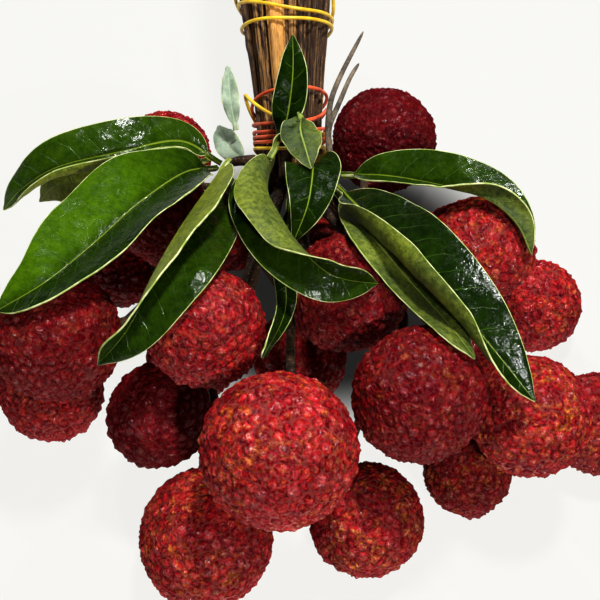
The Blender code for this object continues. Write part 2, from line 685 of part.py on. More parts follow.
def leaves(green, filled):
    """All leaves, each one laid over the ones before it."""
    fruit_balls = np.column_stack([CENTRES, REACH + LEAF_OVER_FRUIT])
    stalk_balls = filled + np.array([0, 0, 0, LEAF_OVER_STALK])
    sheaf_balls = np.array([
        [*sheaf_point(along, 0, 0), ring_radius(along) + stalk_radius(along) + LEAF_OVER_SHEAF]
        for along in np.arange(-3, 80, 3.0)])
    balls = np.vstack([fruit_balls, stalk_balls, sheaf_balls])
    below = []
    for name, shape in LEAVES.items():
        sheet = leaf_sheet(**shape)
        if name not in LEAVES_ASIDE:
            sheet, tree = lifted(sheet, balls, below)
            below.append((tree, sheet))
        coarse = sheet[::ROW_STEP, ::COLUMN_STEP]
        rows, columns = coarse.shape[:2]
        mesh = bpy.data.meshes.new(name)
        quads = grid_faces(rows, columns)
        faces = [(a, b, c) for a, b, c, d in quads] + [(a, c, d) for a, b, c, d in quads]
        mesh.from_pydata([tuple(p) for p in coarse.reshape(-1, 3) * MM], [], faces)
        obj = new_object(name, mesh, green)
        thicken = obj.modifiers.new("blade", "SOLIDIFY")
        thicken.thickness = LEAF_THICKNESS * MM
        thicken.offset = 0


def bands(colours):
    """Rubber bands: closed loops that wind round the sheaf, lifted where strands cross."""
    for name, keys in BANDS.items():
        turns = np.array([key[0] for key in keys], float)
        angles = np.arange(turns[0], turns[-1], -BAND_STEP)
        place = np.interp(-angles, -turns, [key[1] for key in keys])
        layer = np.interp(-angles, -turns, [key[2] for key in keys])
        points = []
        for angle, y, over in zip(angles, place, layer):
            along = (y - NECK[1]) / SHEAF_AXIS[1]
            out = ring_radius(along) + stalk_radius(along) + GAP + 0.2 + BAND_RADIUS
            points.append(sheaf_point(along, angle, out + over * (2 * BAND_RADIUS + GAP)))
        radii = [BAND_RADIUS] * len(points)
        new_object(name, tube(name, points, radii, closed=True, sides_level=1), colours[name.split("_")[1]])


def centre_on_footprint():
    """Put the origin under the middle of the bunch, on the surface that it lies on."""
    bpy.context.view_layer.update()
    depsgraph = bpy.context.evaluated_depsgraph_get()
    corners = []
    for obj in BUNCH_PARTS.objects:
        seen = obj.evaluated_get(depsgraph)
        corners += [seen.matrix_world @ Vector(corner) for corner in seen.bound_box]
    corners = np.array(corners)
    middle = (corners.min(axis=0) + corners.max(axis=0)) / 2
    BUNCH.location = (-middle[0], -middle[1], -corners[:, 2].min())


for old in list(bpy.data.objects):
    bpy.data.objects.remove(old, do_unlink=True)

BUNCH_PARTS = bpy.data.collections.new("lychee_bunch")
CUTTERS = bpy.data.collections.new("branches")
bpy.context.scene.collection.children.link(BUNCH_PARTS)
bpy.context.scene.collection.children.link(CUTTERS)
BUNCH = bpy.data.objects.new("bunch", None)
bpy.context.scene.collection.objects.link(BUNCH)

SKIN = material("lychee_skin", (0.42, 0.03, 0.04), 0.45)
GREEN = material("leaf_green", (0.03, 0.14, 0.02), 0.35)
BARK = material("bark", (0.10, 0.05, 0.025), 0.8)
WOOD = material("bare_wood", (0.55, 0.27, 0.06), 0.7)
RUBBER = {
    "yellow": material("yellow_rubber", (0.85, 0.60, 0.02), 0.5),
    "orange": material("orange_rubber", (0.85, 0.16, 0.03), 0.5),
}

for fruit_name in FRUIT:
    fruit(fruit_name, SKIN)
FILLED = stalks(BARK)
broken_stalk(WOOD)
FILLED = np.vstack([FILLED, thin_twigs(BARK)])
leaves(GREEN, FILLED)
bands(RUBBER)
centre_on_footprint()
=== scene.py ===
"""The looks of a tied bunch of lychees: knobbly skins, glossy leaves, bark, split wood and rubber bands.

Lengths are in millimetres until a mesh is made. LAYOUT is the place where the bunch was laid out; the frame's
origin lies under the middle of its footprint.
"""
import math

import bmesh
import bpy
import numpy as np
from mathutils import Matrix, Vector
from mathutils.bvhtree import BVHTree
from mathutils.kdtree import KDTree


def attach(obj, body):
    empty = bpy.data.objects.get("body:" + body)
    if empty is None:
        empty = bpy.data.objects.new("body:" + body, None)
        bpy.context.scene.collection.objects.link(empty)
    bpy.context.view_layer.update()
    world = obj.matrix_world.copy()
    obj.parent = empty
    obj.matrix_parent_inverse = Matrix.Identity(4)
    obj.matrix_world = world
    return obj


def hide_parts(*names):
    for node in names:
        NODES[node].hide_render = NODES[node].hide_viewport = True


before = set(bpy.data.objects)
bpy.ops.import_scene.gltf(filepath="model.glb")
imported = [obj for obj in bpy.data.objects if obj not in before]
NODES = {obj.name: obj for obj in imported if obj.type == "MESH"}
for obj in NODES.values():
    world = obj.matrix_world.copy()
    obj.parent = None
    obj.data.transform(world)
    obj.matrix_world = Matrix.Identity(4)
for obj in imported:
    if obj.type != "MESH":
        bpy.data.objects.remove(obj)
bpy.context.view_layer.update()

MM = 0.001
LAYOUT = np.array([-6.337, -43.289, 0.0])

# Fruit: centre, radius, and how much longer it is along its stalk than across
FRUIT = {
    "fruit_01": (-5, -55.3, 60, 19.7, -0.02),
    "fruit_02": (-25, -60.6, 17.5, 19.2, 0.03),
    "fruit_03": (18, -54.5, 14.6, 16.3, 0.00),
    "fruit_04": (30, -38, 56, 17.6, -0.04),
    "fruit_05": (61, -35, 38, 16.9, 0.02),
    "fruit_06": (47, -39, 11.3, 13.0, 0.00),
    "fruit_07": (85, -25, 13.8, 15.5, 0.03),
    "fruit_08": (71, 15, 12.9, 14.6, 0.00),
    "fruit_09": (48, 11, 48, 16.9, 0.10),
    "fruit_10": (27, 72.8, 20.5, 17.6, 0.02),
    "fruit_11": (13, -4, 50, 16.8, 0.00),
    "fruit_12": (-24, -22, 62, 16.2, 0.02),
    "fruit_13": (-64, -18, 51, 18.0, 0.03),
    "fruit_14": (-72, -14, 14.3, 16.0, -0.02),
    "fruit_15": (-37.5, -32.5, 34, 15.0, 0.02),
    "fruit_16": (-38, 25, 44, 14.3, 0.00),
    "fruit_17": (-43, 70, 16, 15.2, 0.02),
    "fruit_18": (-57, 30, 12.3, 14.0, 0.00),
    "fruit_19": (47, -5, 18, 14.0, 0.00),
    "fruit_20": (0, -3, 12.9, 14.6, 0.00),
    "fruit_21": (-32, -3, 12.5, 14.2, 0.00),
    "fruit_22": (10, 31, 12.9, 14.6, 0.00),
    "fruit_23": (-21, 44, 12.7, 14.4, 0.00),
    "fruit_24": (44, 34, 12.5, 14.2, 0.00),
}
HIDDEN = ("fruit_19", "fruit_20", "fruit_21", "fruit_22", "fruit_23", "fruit_24")
# Where the stalks branch, and the room that a stalk's end needs beside other fruit and over the table
HUB = np.array([-3.0, 12.0, 30.0])
STALK_TRIES = 400
STALK_END = 3.2
STALK_ROOM = 2.2
STALK_OVER_TABLE = 3

# Skin: distance between knobs, area of a hexagon of width 1, height of a knob, and the shares of knob,
# ridges and grain in its relief
KNOB_PITCH = 3.1
HEXAGON = 0.866
KNOB_HEIGHT = 1.15
KNOB_SHARE = 0.92
KNOB_SIZES = (0.5, 1.1)
# A knob is lower on the upper side of a fruit than underneath, and ridges take the place of what it lacks
KNOB_ABOVE, KNOB_MORE_BELOW = 0.66, 0.34
RIDGES, RIDGES_LESS = 0.44, 0.32
GRAIN_SHARE = 0.11
LUMP, SMALL_LUMP, SKIN_DROP = 0.32, 0.22, 0.10
# Fruit of about one size share a ball: how finely it is divided, and the radius that its knobs are counted
# for
BALLS = {"large": (7, 18), "middling": (7, 16), "small": (7, 14.5), "hidden": (6, 14)}
LARGE_FRUIT = 17
MIDDLING_FRUIT = 15.1
KNOB_SEED = 6

# Each fruit's ochre and brown patches, where its skin has turned, and how much painted shade darkens it where
# it lies in shadow
PATCHES_AND_SHADE = {
    "fruit_01": (0.75, 0.0), "fruit_02": (0.7, 0.0), "fruit_03": (1.0, 0.2), "fruit_04": (0.6, 0.68),
    "fruit_05": (1.0, 0.15), "fruit_06": (0.8, 0.55), "fruit_07": (0.8, 0.35), "fruit_08": (0.6, 0.12),
    "fruit_09": (0.8, 0.15), "fruit_10": (0.1, 1.0), "fruit_11": (0.5, 0.7), "fruit_12": (0.4, 0.25),
    "fruit_13": (0.35, 0.74), "fruit_14": (0.3, 0.3), "fruit_15": (0.1, 0.95), "fruit_16": (0.3, 0.3),
    "fruit_17": (0.2, 0.1), "fruit_18": (0.2, 0.6),
}
PATCHES_AND_SHADE_HIDDEN = (0.3, 0.4)
SHADE_SHARE, SHADE_SPREAD, SHADE_MOST = 0.85, 0.12, 0.8

# The sheaf: its axis, and the radii of its ring of stalks and of one stalk, at the neck and where they have
# flared
NECK = np.array([-2.7, 44.0, 46.0])
CUT_END = np.array([-6.4, 164.1, 80.5])
FLARE_LENGTH = 85.0
RING_AT_NECK = 7.4
RING_GROWTH = 5.2
STALK_AT_NECK = 2.0
STALK_GROWTH = 1.35
FRONT = -7.0
BRANCHES_END = 5.0
# A direction that no stalk runs in
ASKEW = (0.3, 0.2, 1.0)
STRAND_SIDES = 20
STRAND_STEP = 0.9
# Each stalk's angle and share of the ring radius at the neck
STALKS = {
    "stalk_01": (315, 0.38), "stalk_02": (225, 0.38), "stalk_03": (45, 0.38), "stalk_04": (36, 1.0),
    "stalk_05": (0, 1.0), "stalk_06": (324, 1.0), "stalk_07": (135, 0.38), "stalk_08": (180, 1.0),
    "stalk_09": (216, 1.0), "stalk_10": (252, 1.0), "stalk_11": (288, 1.0),
    "leaf_twig_left": (144, 1.0), "leaf_twig_right": (72, 1.0),
}

# One more thin stalk inside the sheaf, grown with the node it is listed under
INNER_STALKS = {"leaf_twig_right": (90, 0.62)}
CAP_RINGS = (0.96, 0.6, 0.25)

# Leaves, lowest first: middle rib, half width, turn about the rib, then fold and curl of each half in degrees
# The two powers of a blade's outline, at its stalk and at its tip, say where it is widest
LEAVES = {
    "leaf_03": dict(
        rib=((-26, 46, 45), (-37, 37, 50), (-54, 32, 52), (-69, 34, 48), (-76, 34, 40)),
        half=8.5, roll=180, left=(5, 0), right=(5, 0)),
    "leaf_02": dict(
        rib=((-23, 42.5, 47), (-34, 42.7, 57), (-50, 35.5, 61), (-67, 32, 59), (-78, 30, 52), (-85, 28, 44)),
        half=9.4, left=(0, (60, 120, 150, 150, 120, 60)), right=(10, -25)),
    "leaf_13": dict(
        rib=((-19, 55.8, 46), (-20.5, 62.3, 52), (-21.5, 72, 56)),
        half=2.6),
    "leaf_06": dict(
        rib=((-16, 48, 41), (-21, 54, 40), (-25, 64, 38)),
        half=4.0),
    "leaf_14": dict(
        rib=((-3, 27, 50), (-4, 4, 54), (-4, -12, 54), (-10, -23, 48)),
        half=3.2),
    "leaf_01": dict(
        rib=((-24, 38.5, 50), (-32, 29, 60), (-43, 14, 66), (-53, 1, 67), (-65, -10, 65), (-79, -15, 58)),
        half=15, roll=(20, 30, 32, 32, 30, 25), left=(30, -10), right=(32, -15)),
    "leaf_04": dict(
        rib=((-20, 38, 54), (-25, 20, 64), (-31, 1, 72), (-36, -15, 76), (-42, -28, 72), (-50, -34, 64)),
        half=14, left=(5, -10), right=((100, 112, 112, 105, 80, 40), 10)),
    "leaf_12": dict(
        rib=((10, 33, 46), (18, 15, 53), (28, -5, 59), (37, -20, 62), (44, -30, 60)),
        half=8, left=(5, 0), right=((20, 40, 40, 30, 10), 10)),
    "leaf_10": dict(
        rib=((12, 36, 50), (24, 29.5, 58), (39, 24.5, 60), (51.5, 21.5, 58), (60, 17.5, 52), (65, 13, 43)),
        half=9.5, left=(5, -15), right=((60, 65, 75, 110, 130, 120), 10)),
    "leaf_11": dict(
        rib=((10, 31, 52), (19, 12, 62), (30, -9, 70), (42, -25, 70), (58, -42, 60)),
        half=12.5, left=(10, -15), right=((0, 20, 30, 30, 10), (20, 120, 150, 130, 40))),
    "leaf_07": dict(
        rib=((3, 34, 60), (3.5, 24, 68.5), (2, 12, 68), (-2, 5, 60)),
        half=7.6, left=(5, 0), right=(5, 0), widest=(0.4, 1.0)),
    "leaf_05": dict(
        rib=((-8, 38, 56), (-9, 19, 66), (-6, 7, 72), (-1, -4, 74), (6, -11, 72), (12, -12, 69),
             (20, -10, 64)),
        half=11.5, left=((60, 95, 100, 90, 65, 55, 30), (60, 80, 80, 70, 10, 0, 0)), right=(5, 0)),
    "leaf_08": dict(
        rib=((-8.4, 31, 64), (-6, 36, 65), (-3.6, 41.5, 68), (-2, 50, 76), (-2, 61.5, 80)),
        half=4.8, roll=(-140, -115, -20, 0, 0), left=(15, 0), right=(15, 0)),
    "leaf_09": dict(
        rib=((0, 46, 65), (0, 37, 69), (1.5, 28.5, 71), (3, 25, 67)),
        half=5.6, roll=180, left=(0, 0), right=(12, 0)),
}
# How yellow each leaf is on its upper and on its lower face, from 0 to 1; the upper value is partly painted
# light and shade
YELLOWING_AND_LIGHT = {
    "leaf_01": (0.75, 0.5), "leaf_02": (0.35, 0.9), "leaf_03": (0.4, 0.9), "leaf_04": (0.2, 0.75),
    "leaf_05": (0.25, 0.45), "leaf_06": (0.2, 0.3), "leaf_07": (0.0, 0.4), "leaf_08": (0.0, 0.4),
    "leaf_09": (0.3, 0.12), "leaf_10": (0.25, 0.3), "leaf_11": (0.0, 0.45), "leaf_12": (0.0, 0.3),
    "leaf_13": (0.3, 0.3), "leaf_14": (0.0, 0.2),
}
# Rows and columns of a leaf as it is laid out, where the second one is for half a leaf, and as it is finished
LEAF_ROWS, LEAF_COLUMNS = 41, 6
FINE_ROWS, FINE_COLUMNS = 121, 37
# Leaves are raised towards this point, which is the camera's place too, until they are clear of what is below
LIFT_POINT = np.array([0.0, -185.5, 336.8])
FACING = np.array([0.0, -0.53, 0.85])
LEAF_OVER_FRUIT = 1.6
LEAF_OVER_LEAF = 2.5
LEAF_OVER_STALK = 1.2
LEAF_OVER_SHEAF = 4.2
# A leaf's surface: half its thickness inside and at its rim, its pale margin, waves, and the rise between
# veins
BLADE, BLADE_RIM = 0.22, 0.1
MARGIN = 0.17
WAVE, RIPPLE, QUILT = 0.20, 0.07, 0.10
# Height and width of the rib below, of the groove above it, and of the round foot
KEEL, KEEL_WIDTH = 0.40, 0.5
GROOVE, GROOVE_WIDTH = 0.22, 0.7
FOOT, FOOT_WIDTH = 0.45, 0.95
# Shares of a leaf's length: where its foot ends and fades, and where its tip begins to round off
FOOT_END, FOOT_FADE = 0.13, 0.06
TIP_START, TIP_LENGTH = 0.955, 0.045
# Side veins: their spacing, how much later they start on the right, and how they slant and bend forwards
VEIN_SPACING, VEIN_SPACING_DUSTY = 6.5, 5.0
VEIN_LATER, VEIN_SLANT, VEIN_BEND = 0.45, 0.55, 0.035
# Leaves that show their dull side upwards, the small grey-green ones beside the neck, and those without a
# shine
LEAVES_TURNED = ("leaf_12",)
LEAVES_DUSTY = ("leaf_13", "leaf_06")
LEAVES_DULL = ("leaf_07", "leaf_08", "leaf_14")
DULL_GLOSS = 0.12

# The table, with half its width and how far it lies below the bunch, in metres, and the dark patch on it
# under the bunch, in place of the deep shadow there
TABLE_SIZE = 30.0
TABLE_DROP = 0.0002
TABLE_GLOW = 0.87
SHADE_MIDDLE = (0.004, -0.009)
SHADE_HALF = (0.054, 0.047)
SHADE_FADE = (0.6, 1.6)
SHADE_LEAST = 0.03

# Lights: place, aim and width in metres, and power
LIGHTS = {
    "overhead": ((0.10, 0.10, 0.80), (0, -0.03, 0.04), 0.10, 7.0),
    "behind": ((-0.05, 0.70, 0.66), (0, -0.02, 0.05), 0.06, 3.6),
    "front": ((0.22, -0.62, 0.62), (0, -0.05, 0.03), 0.06, 4.4),
}
ROOM_GLOW = 0.03
GAMMA = 0.86

AIM = np.array([0.0, 0.0, 40.0])
FOCAL_LENGTH = 75.6
SENSOR_WIDTH = 36.0


def unit(vector):
    return vector / np.linalg.norm(vector)


def units(rows):
    return rows / np.linalg.norm(rows, axis=1)[:, None]


def smooth_step(value):
    value = np.clip(value, 0, 1)
    return value * value * (3 - 2 * value)


def hashed(cells, seed):
    """A number from 0 to 1 for every whole-numbered cell, scattered by large factors in 32 bits."""
    x, y, z = (cells[..., k] for k in range(3))
    mixed = x * 73856093 ^ y * 19349663 ^ z * 83492791 ^ (seed + 1) * 2654435
    mixed = mixed & 0xFFFFFFFF
    mixed = ((mixed ^ (mixed >> 13)) * 1274126177) & 0xFFFFFFFF
    mixed = ((mixed ^ (mixed >> 15)) * 2246822519) & 0xFFFFFFFF
    return ((mixed ^ (mixed >> 16)) & 0xFFFFFF) / 0xFFFFFF


def noise(points, seed=0):
    """Smooth noise from -1 to 1 that changes over about one unit of length."""
    low = np.floor(points).astype(np.int64)
    share = smooth_step(points - low)
    total = np.zeros(points.shape[:-1])
    for corner in np.ndindex(2, 2, 2):
        weight = np.where(corner, share, 1 - share).prod(axis=-1)
        total += weight * hashed(low + np.array(corner), seed)
    return 2 * total - 1


def directions(count):
    """Unit vectors spread evenly on a golden spiral."""
    k = np.arange(count) + 0.5
    z = 1 - 2 * k / count
    angle = k * math.pi * (3 - math.sqrt(5))
    across = np.sqrt(1 - z * z)
    return np.stack([across * np.cos(angle), across * np.sin(angle), z], axis=1)


def frame_from(axis):
    """Three unit vectors, the last one along the axis."""
    helper = np.array([1.0, 0.0, 0.0]) if abs(axis[0]) < 0.8 else np.array([0.0, 1.0, 0.0])
    side = unit(np.cross(helper, axis))
    return np.stack([side, np.cross(axis, side), axis])


CENTRES = np.array([row[:3] for row in FRUIT.values()], float)
REACH = np.array([row[3] * (1 + 0.6 * max(row[4], 0)) for row in FRUIT.values()])
NAMES = list(FRUIT)


def stalk_direction(name):
    """Direction of a fruit's stalk end: the open direction nearest to the hub."""
    index = NAMES.index(name)
    centre = CENTRES[index]
    tries = directions(STALK_TRIES)
    ends = centre + tries * (REACH[index] + STALK_END)
    others = np.delete(np.arange(len(NAMES)), index)
    away = np.linalg.norm(ends[:, None] - CENTRES[others][None], axis=2) - REACH[others][None]
    is_open = (away.min(axis=1) > STALK_ROOM) & (ends[:, 2] > STALK_OVER_TABLE)
    score = tries @ unit(HUB - centre) - 10 * ~is_open
    return tries[score.argmax()]


def skin_radius(radius, tall, toward_stalk):
    """Distance from a fruit's centre to its skin, by the cosine of the angle to its stalk."""
    dimple = 0.09 * np.exp((toward_stalk - 1) / 0.05)
    return radius * (1 + tall * (1.5 * toward_stalk ** 2 - 0.9) - dimple)


def piece(name, points, faces, materials, node, slot, parts=None):
    """A mesh object from points in the layout's millimetres, which rides on the bunch in place of its node."""
    mesh = bpy.data.meshes.new(name)
    mesh.from_pydata(((points + LAYOUT) * MM).tolist(), [], faces)
    obj = bpy.data.objects.new(name, mesh)
    bpy.context.scene.collection.objects.link(obj)
    for one in materials:
        mesh.materials.append(one)
    if parts is not None:
        mesh.polygons.foreach_set("material_index", np.asarray(parts, dtype=np.int32))
    mesh.shade_smooth()
    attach(obj, "root")
    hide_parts(node)
    return obj


def attribute(obj, name, values):
    """Keep a number or a vector for each point of a mesh, for its material."""
    values = np.ascontiguousarray(values, dtype=np.float32)
    kind, field = ("FLOAT_VECTOR", "vector") if values.ndim > 1 else ("FLOAT", "value")
    obj.data.attributes.new(name, kind, "POINT").data.foreach_set(field, values.ravel())


class Shader:
    """A material with short ways to add its nodes."""

    def __init__(self, name):
        self.material = bpy.data.materials.new(name)
        self.material.use_nodes = True
        self.nodes = self.material.node_tree.nodes
        self.links = self.material.node_tree.links
        self.surface = self.nodes["Principled BSDF"]

    def feed(self, socket, value):
        if isinstance(value, bpy.types.NodeSocket):
            self.links.new(value, socket)
        elif isinstance(value, tuple) and len(value) == 3 and len(socket.default_value) == 4:
            socket.default_value = (*value, 1.0)
        else:
            socket.default_value = value

    def set(self, **sockets):
        for name, value in sockets.items():
            self.feed(self.surface.inputs[name.replace("_", " ")], value)

    def attribute(self, name, vector=False):
        node = self.nodes.new("ShaderNodeAttribute")
        node.attribute_name = name
        return node.outputs["Vector" if vector else "Fac"]

    def place(self):
        """The point's place in metres, the same in every view."""
        return self.nodes.new("ShaderNodeTexCoord").outputs["Object"]

    def math(self, kind, a, b=0.0):
        node = self.nodes.new("ShaderNodeMath")
        node.operation = kind
        self.feed(node.inputs[0], a)
        self.feed(node.inputs[1], b)
        return node.outputs[0]

    def times(self, first, *others):
        for other in others:
            first = self.math("MULTIPLY", first, other)
        return first

    def fade(self, value, low, high, start=0.0, end=1.0):
        """Smoothly from start, at low, to end, at high."""
        node = self.nodes.new("ShaderNodeMapRange")
        node.interpolation_type = "SMOOTHSTEP"
        for name, given in (("Value", value), ("From Min", low), ("From Max", high), ("To Min", start),
                            ("To Max", end)):
            self.feed(node.inputs[name], given)
        return node.outputs["Result"]

    def noise(self, vector, scale, detail=2.0, rough=0.5, warp=0.0):
        node = self.nodes.new("ShaderNodeTexNoise")
        self.feed(node.inputs["Vector"], vector)
        for name, given in (("Scale", scale), ("Detail", detail), ("Roughness", rough), ("Distortion", warp)):
            self.feed(node.inputs[name], given)
        return node.outputs["Fac"]

    def bent(self, vector, scale, distance):
        """The place, shifted this way and that by a noise."""
        node = self.nodes.new("ShaderNodeTexNoise")
        self.feed(node.inputs["Vector"], vector)
        self.feed(node.inputs["Scale"], scale)
        shift = self.nodes.new("ShaderNodeVectorMath")
        shift.operation = "MULTIPLY_ADD"
        self.feed(shift.inputs[0], node.outputs["Color"])
        shift.inputs[1].default_value = (distance, distance, distance)
        self.feed(shift.inputs[2], vector)
        return shift.outputs["Vector"]

    def facing(self, normal):
        """From 0 where a face is seen square on to 1 at its edge, for gloss alone."""
        node = self.nodes.new("ShaderNodeLayerWeight")
        self.links.new(normal, node.inputs["Normal"])
        return node.outputs["Facing"]

    def cells(self, vector, scale, feature="F1"):
        node = self.nodes.new("ShaderNodeTexVoronoi")
        node.feature = feature
        self.feed(node.inputs["Vector"], vector)
        self.feed(node.inputs["Scale"], scale)
        return node.outputs["Distance"]

    def mix(self, share, a, b):
        node = self.nodes.new("ShaderNodeMix")
        node.data_type = "RGBA"
        self.feed(node.inputs["Factor"], share)
        colours = [socket for socket in node.inputs if socket.type == "RGBA"]
        self.feed(colours[0], a)
        self.feed(colours[1], b)
        return [socket for socket in node.outputs if socket.type == "RGBA"][0]

    def over(self, colour, share, most, paint):
        """The colour with a share of paint over it, up to the most that it may cover."""
        return self.mix(self.times(share, most), colour, paint)

    def bump(self, height, distance, strength=1.0, below=None):
        node = self.nodes.new("ShaderNodeBump")
        self.feed(node.inputs["Height"], height)
        self.feed(node.inputs["Distance"], distance)
        self.feed(node.inputs["Strength"], strength)
        if below is not None:
            self.links.new(below, node.inputs["Normal"])
        return node.outputs["Normal"]


def skin_material():
    """Lychee skin: crimson knobs with painted shade in the clefts, thin pale creases, ochre patches and brown
    specks.
    """
    m = Shader("lychee_skin")
    place = m.place()
    knob = m.attribute("knob")
    tint = m.attribute("tint")
    patches = m.attribute("patches")
    under = m.attribute("under")
    shade = m.attribute("shade")
    fine = m.noise(place, 700, 5, 0.75)
    broad = m.noise(place, 85, 3, 0.6)
    tone = m.math("ADD", fine, m.times(tint, 0.07))
    red = m.mix(m.fade(tone, 0.38, 0.62), (0.15, 0.0014, 0.006), (0.64, 0.018, 0.020))
    red = m.mix(m.fade(broad, 0.35, 0.7, 0.35, 0.0), red, (0.24, 0.002, 0.010))
    streaks = m.fade(m.noise(place, 330, 5, 0.8, 0.6), 0.50, 0.62)
    patch = m.times(streaks, m.fade(broad, 0.37, 0.57), patches)
    ochre = m.mix(m.fade(fine, 0.40, 0.60), (0.42, 0.06, 0.010), (0.74, 0.30, 0.035))
    colour = m.over(red, patch, 0.9, ochre)
    # Painted shade: the clefts between the knobs are darkened
    colour = m.over(colour, m.fade(knob, 0.08, 0.40, 1.0, 0.0), 0.72, (0.050, 0.0005, 0.002))
    edge_away = m.cells(m.bent(place, 420, 0.0011), 620, "DISTANCE_TO_EDGE")
    crease = m.times(m.fade(edge_away, 0.0, 0.09, 1.0, 0.0), 0.16)
    colour = m.over(colour, crease, m.fade(m.noise(place, 260, 3), 0.42, 0.60), (0.90, 0.24, 0.15))
    # Painted light: the underside is pinker, as if lit by the glowing table below
    colour = m.over(colour, under, 0.20, (0.62, 0.05, 0.07))
    # Pale outlines between the knobs: the skin's own, and stronger on the underside as painted light from
    # below
    outline = m.fade(m.attribute("cell"), 0.02, 0.13, 1.0, 0.0)
    colour = m.over(colour, outline, m.math("ADD", m.times(under, 0.70), 0.12), (0.86, 0.27, 0.25))
    # Paler knob tips: partly the skin's own colour, partly painted highlights
    tip = m.times(m.fade(knob, 0.45, 0.85), m.fade(m.noise(place, 1050, 3, 0.7), 0.53, 0.62))
    colour = m.over(colour, tip, 0.72, (1.0, 0.42, 0.32))
    speck = m.fade(m.noise(place, 230, 3, 0.7), 0.66, 0.72)
    colour = m.over(colour, speck, m.math("ADD", m.times(patches, 0.6), 0.2), (0.050, 0.012, 0.002))
    # Painted shade: the whole skin of a fruit that lies in shadow is darkened
    colour = m.mix(shade, colour, (0.055, 0.001, 0.003))
    grain = m.bump(m.noise(place, 1700, 4, 0.8), 0.0003, 0.8, m.bump(edge_away, 0.0007, 0.9))
    gloss = m.times(m.fade(knob, 0.20, 0.55), m.fade(m.facing(grain), 0.30, 0.62, 1.0, 0.0))
    m.set(Base_Color=colour, Roughness=m.fade(fine, 0.35, 0.65, 0.07, 0.24), Normal=grain)
    m.set(Specular_IOR_Level=m.times(gloss, m.math("SUBTRACT", 1.0, m.times(shade, 0.6))))
    return m.material


def leaf_pattern(m, spacing):
    """Place, side veins and middle rib of a leaf face, from its distances along and across."""
    across = m.attribute("across")
    away = m.math("ABSOLUTE", across)
    place = m.place()
    side = m.times(m.math("GREATER_THAN", across, 0.0), spacing * VEIN_LATER)
    wobble = m.times(m.math("SUBTRACT", m.noise(place, 160, 2), 0.5), 3.0)
    bend = m.times(away, away, VEIN_BEND)
    at = m.math("SUBTRACT", m.math("SUBTRACT", m.attribute("along"), m.times(away, VEIN_SLANT)), bend)
    at = m.math("ADD", m.math("ADD", at, side), wobble)
    vein_away = m.math("PINGPONG", at, spacing / 2)
    fading = m.fade(m.attribute("share"), 0.45, 0.9, 1.0, 0.0)
    vein = m.times(m.fade(vein_away, 0.03, 0.24, 1.0, 0.0), fading)
    rib = m.fade(m.math("SUBTRACT", away, m.attribute("rib")), -0.08, 0.10, 1.0, 0.0)
    return place, vein, rib


def leaf_top_material():
    """Upper face of a leaf: dark, waxy green with fine pale veins."""
    m = Shader("leaf_top")
    place, vein, rib = leaf_pattern(m, VEIN_SPACING)
    mottle = m.fade(m.noise(place, 380, 5, 0.8), 0.3, 0.7)
    dark = m.mix(mottle, (0.0030, 0.0095, 0.0009), (0.0095, 0.027, 0.0014))
    light = m.mix(mottle, (0.035, 0.090, 0.0015), (0.080, 0.170, 0.0030))
    # The upper face's mix of dark and light green: the leaf's own yellowing, and partly painted light and
    # shade
    colour = m.mix(m.attribute("yellowing_and_light"), dark, light)
    colour = m.over(colour, vein, 0.30, (0.10, 0.22, 0.02))
    flecks = m.fade(m.noise(place, 900, 3, 0.8), 0.63, 0.72)
    colour = m.over(colour, flecks, 0.18, (0.12, 0.20, 0.03))
    colour = m.over(colour, rib, 0.8, (0.22, 0.30, 0.025))
    ripple = m.bump(m.noise(place, 330, 3, 0.6), 0.0007, 0.6)
    fine = m.bump(m.noise(place, 1100, 3, 0.7), 0.00012, 0.6, ripple)
    quilt = m.bump(m.times(vein, -1.0), 0.00015, 0.7, fine)
    rough = m.fade(m.noise(place, 450, 4, 0.75), 0.35, 0.65, 0.09, 0.30)
    m.set(Base_Color=colour, Roughness=rough, Normal=quilt)
    m.set(Specular_IOR_Level=m.times(m.attribute("gloss"), 0.32))
    return m.material


def leaf_under_material():
    """Lower face of a leaf: matt, paler olive green with a raised rib."""
    m = Shader("leaf_under")
    place, vein, rib = leaf_pattern(m, VEIN_SPACING)
    mottle = m.fade(m.noise(place, 620, 5, 0.8), 0.36, 0.64)
    dull = m.mix(mottle, (0.020, 0.038, 0.007), (0.075, 0.110, 0.024))
    light = m.mix(mottle, (0.11, 0.155, 0.008), (0.30, 0.34, 0.026))
    colour = m.mix(m.attribute("yellowing_under"), dull, light)
    colour = m.over(colour, vein, 0.22, (0.30, 0.38, 0.09))
    speck = m.fade(m.noise(place, 700, 3, 0.7), 0.62, 0.70)
    colour = m.over(colour, speck, 0.45, (0.045, 0.05, 0.012))
    colour = m.over(colour, rib, 0.75, (0.34, 0.42, 0.08))
    skin = m.bump(m.noise(place, 1300, 3, 0.7), 0.0002, 0.6)
    raised = m.bump(vein, 0.0002, 0.7, skin)
    m.set(Base_Color=colour, Roughness=m.fade(mottle, 0.0, 1.0, 0.5, 0.68), Normal=raised)
    m.set(Specular_IOR_Level=0.28)
    return m.material


def leaf_dusty_material():
    """The small pale leaves at the neck: matt grey green."""
    m = Shader("leaf_dusty")
    place, vein, rib = leaf_pattern(m, VEIN_SPACING_DUSTY)
    mottle = m.fade(m.noise(place, 200, 4, 0.7), 0.3, 0.7)
    colour = m.mix(mottle, (0.20, 0.27, 0.19), (0.42, 0.50, 0.38))
    colour = m.over(colour, vein, 0.2, (0.30, 0.40, 0.22))
    colour = m.over(colour, rib, 0.6, (0.40, 0.50, 0.28))
    m.set(Base_Color=colour, Roughness=0.7, Normal=m.bump(m.noise(place, 900, 3), 0.0003, 0.5))
    m.set(Specular_IOR_Level=0.2)
    return m.material


def leaf_edge_material():
    """The pale, slightly thickened margin of a leaf."""
    m = Shader("leaf_edge")
    tone = m.fade(m.noise(m.place(), 350, 2), 0.35, 0.65)
    m.set(Base_Color=m.mix(tone, (0.30, 0.40, 0.08), (0.66, 0.68, 0.34)), Roughness=0.5)
    m.set(Specular_IOR_Level=0.3)
    return m.material


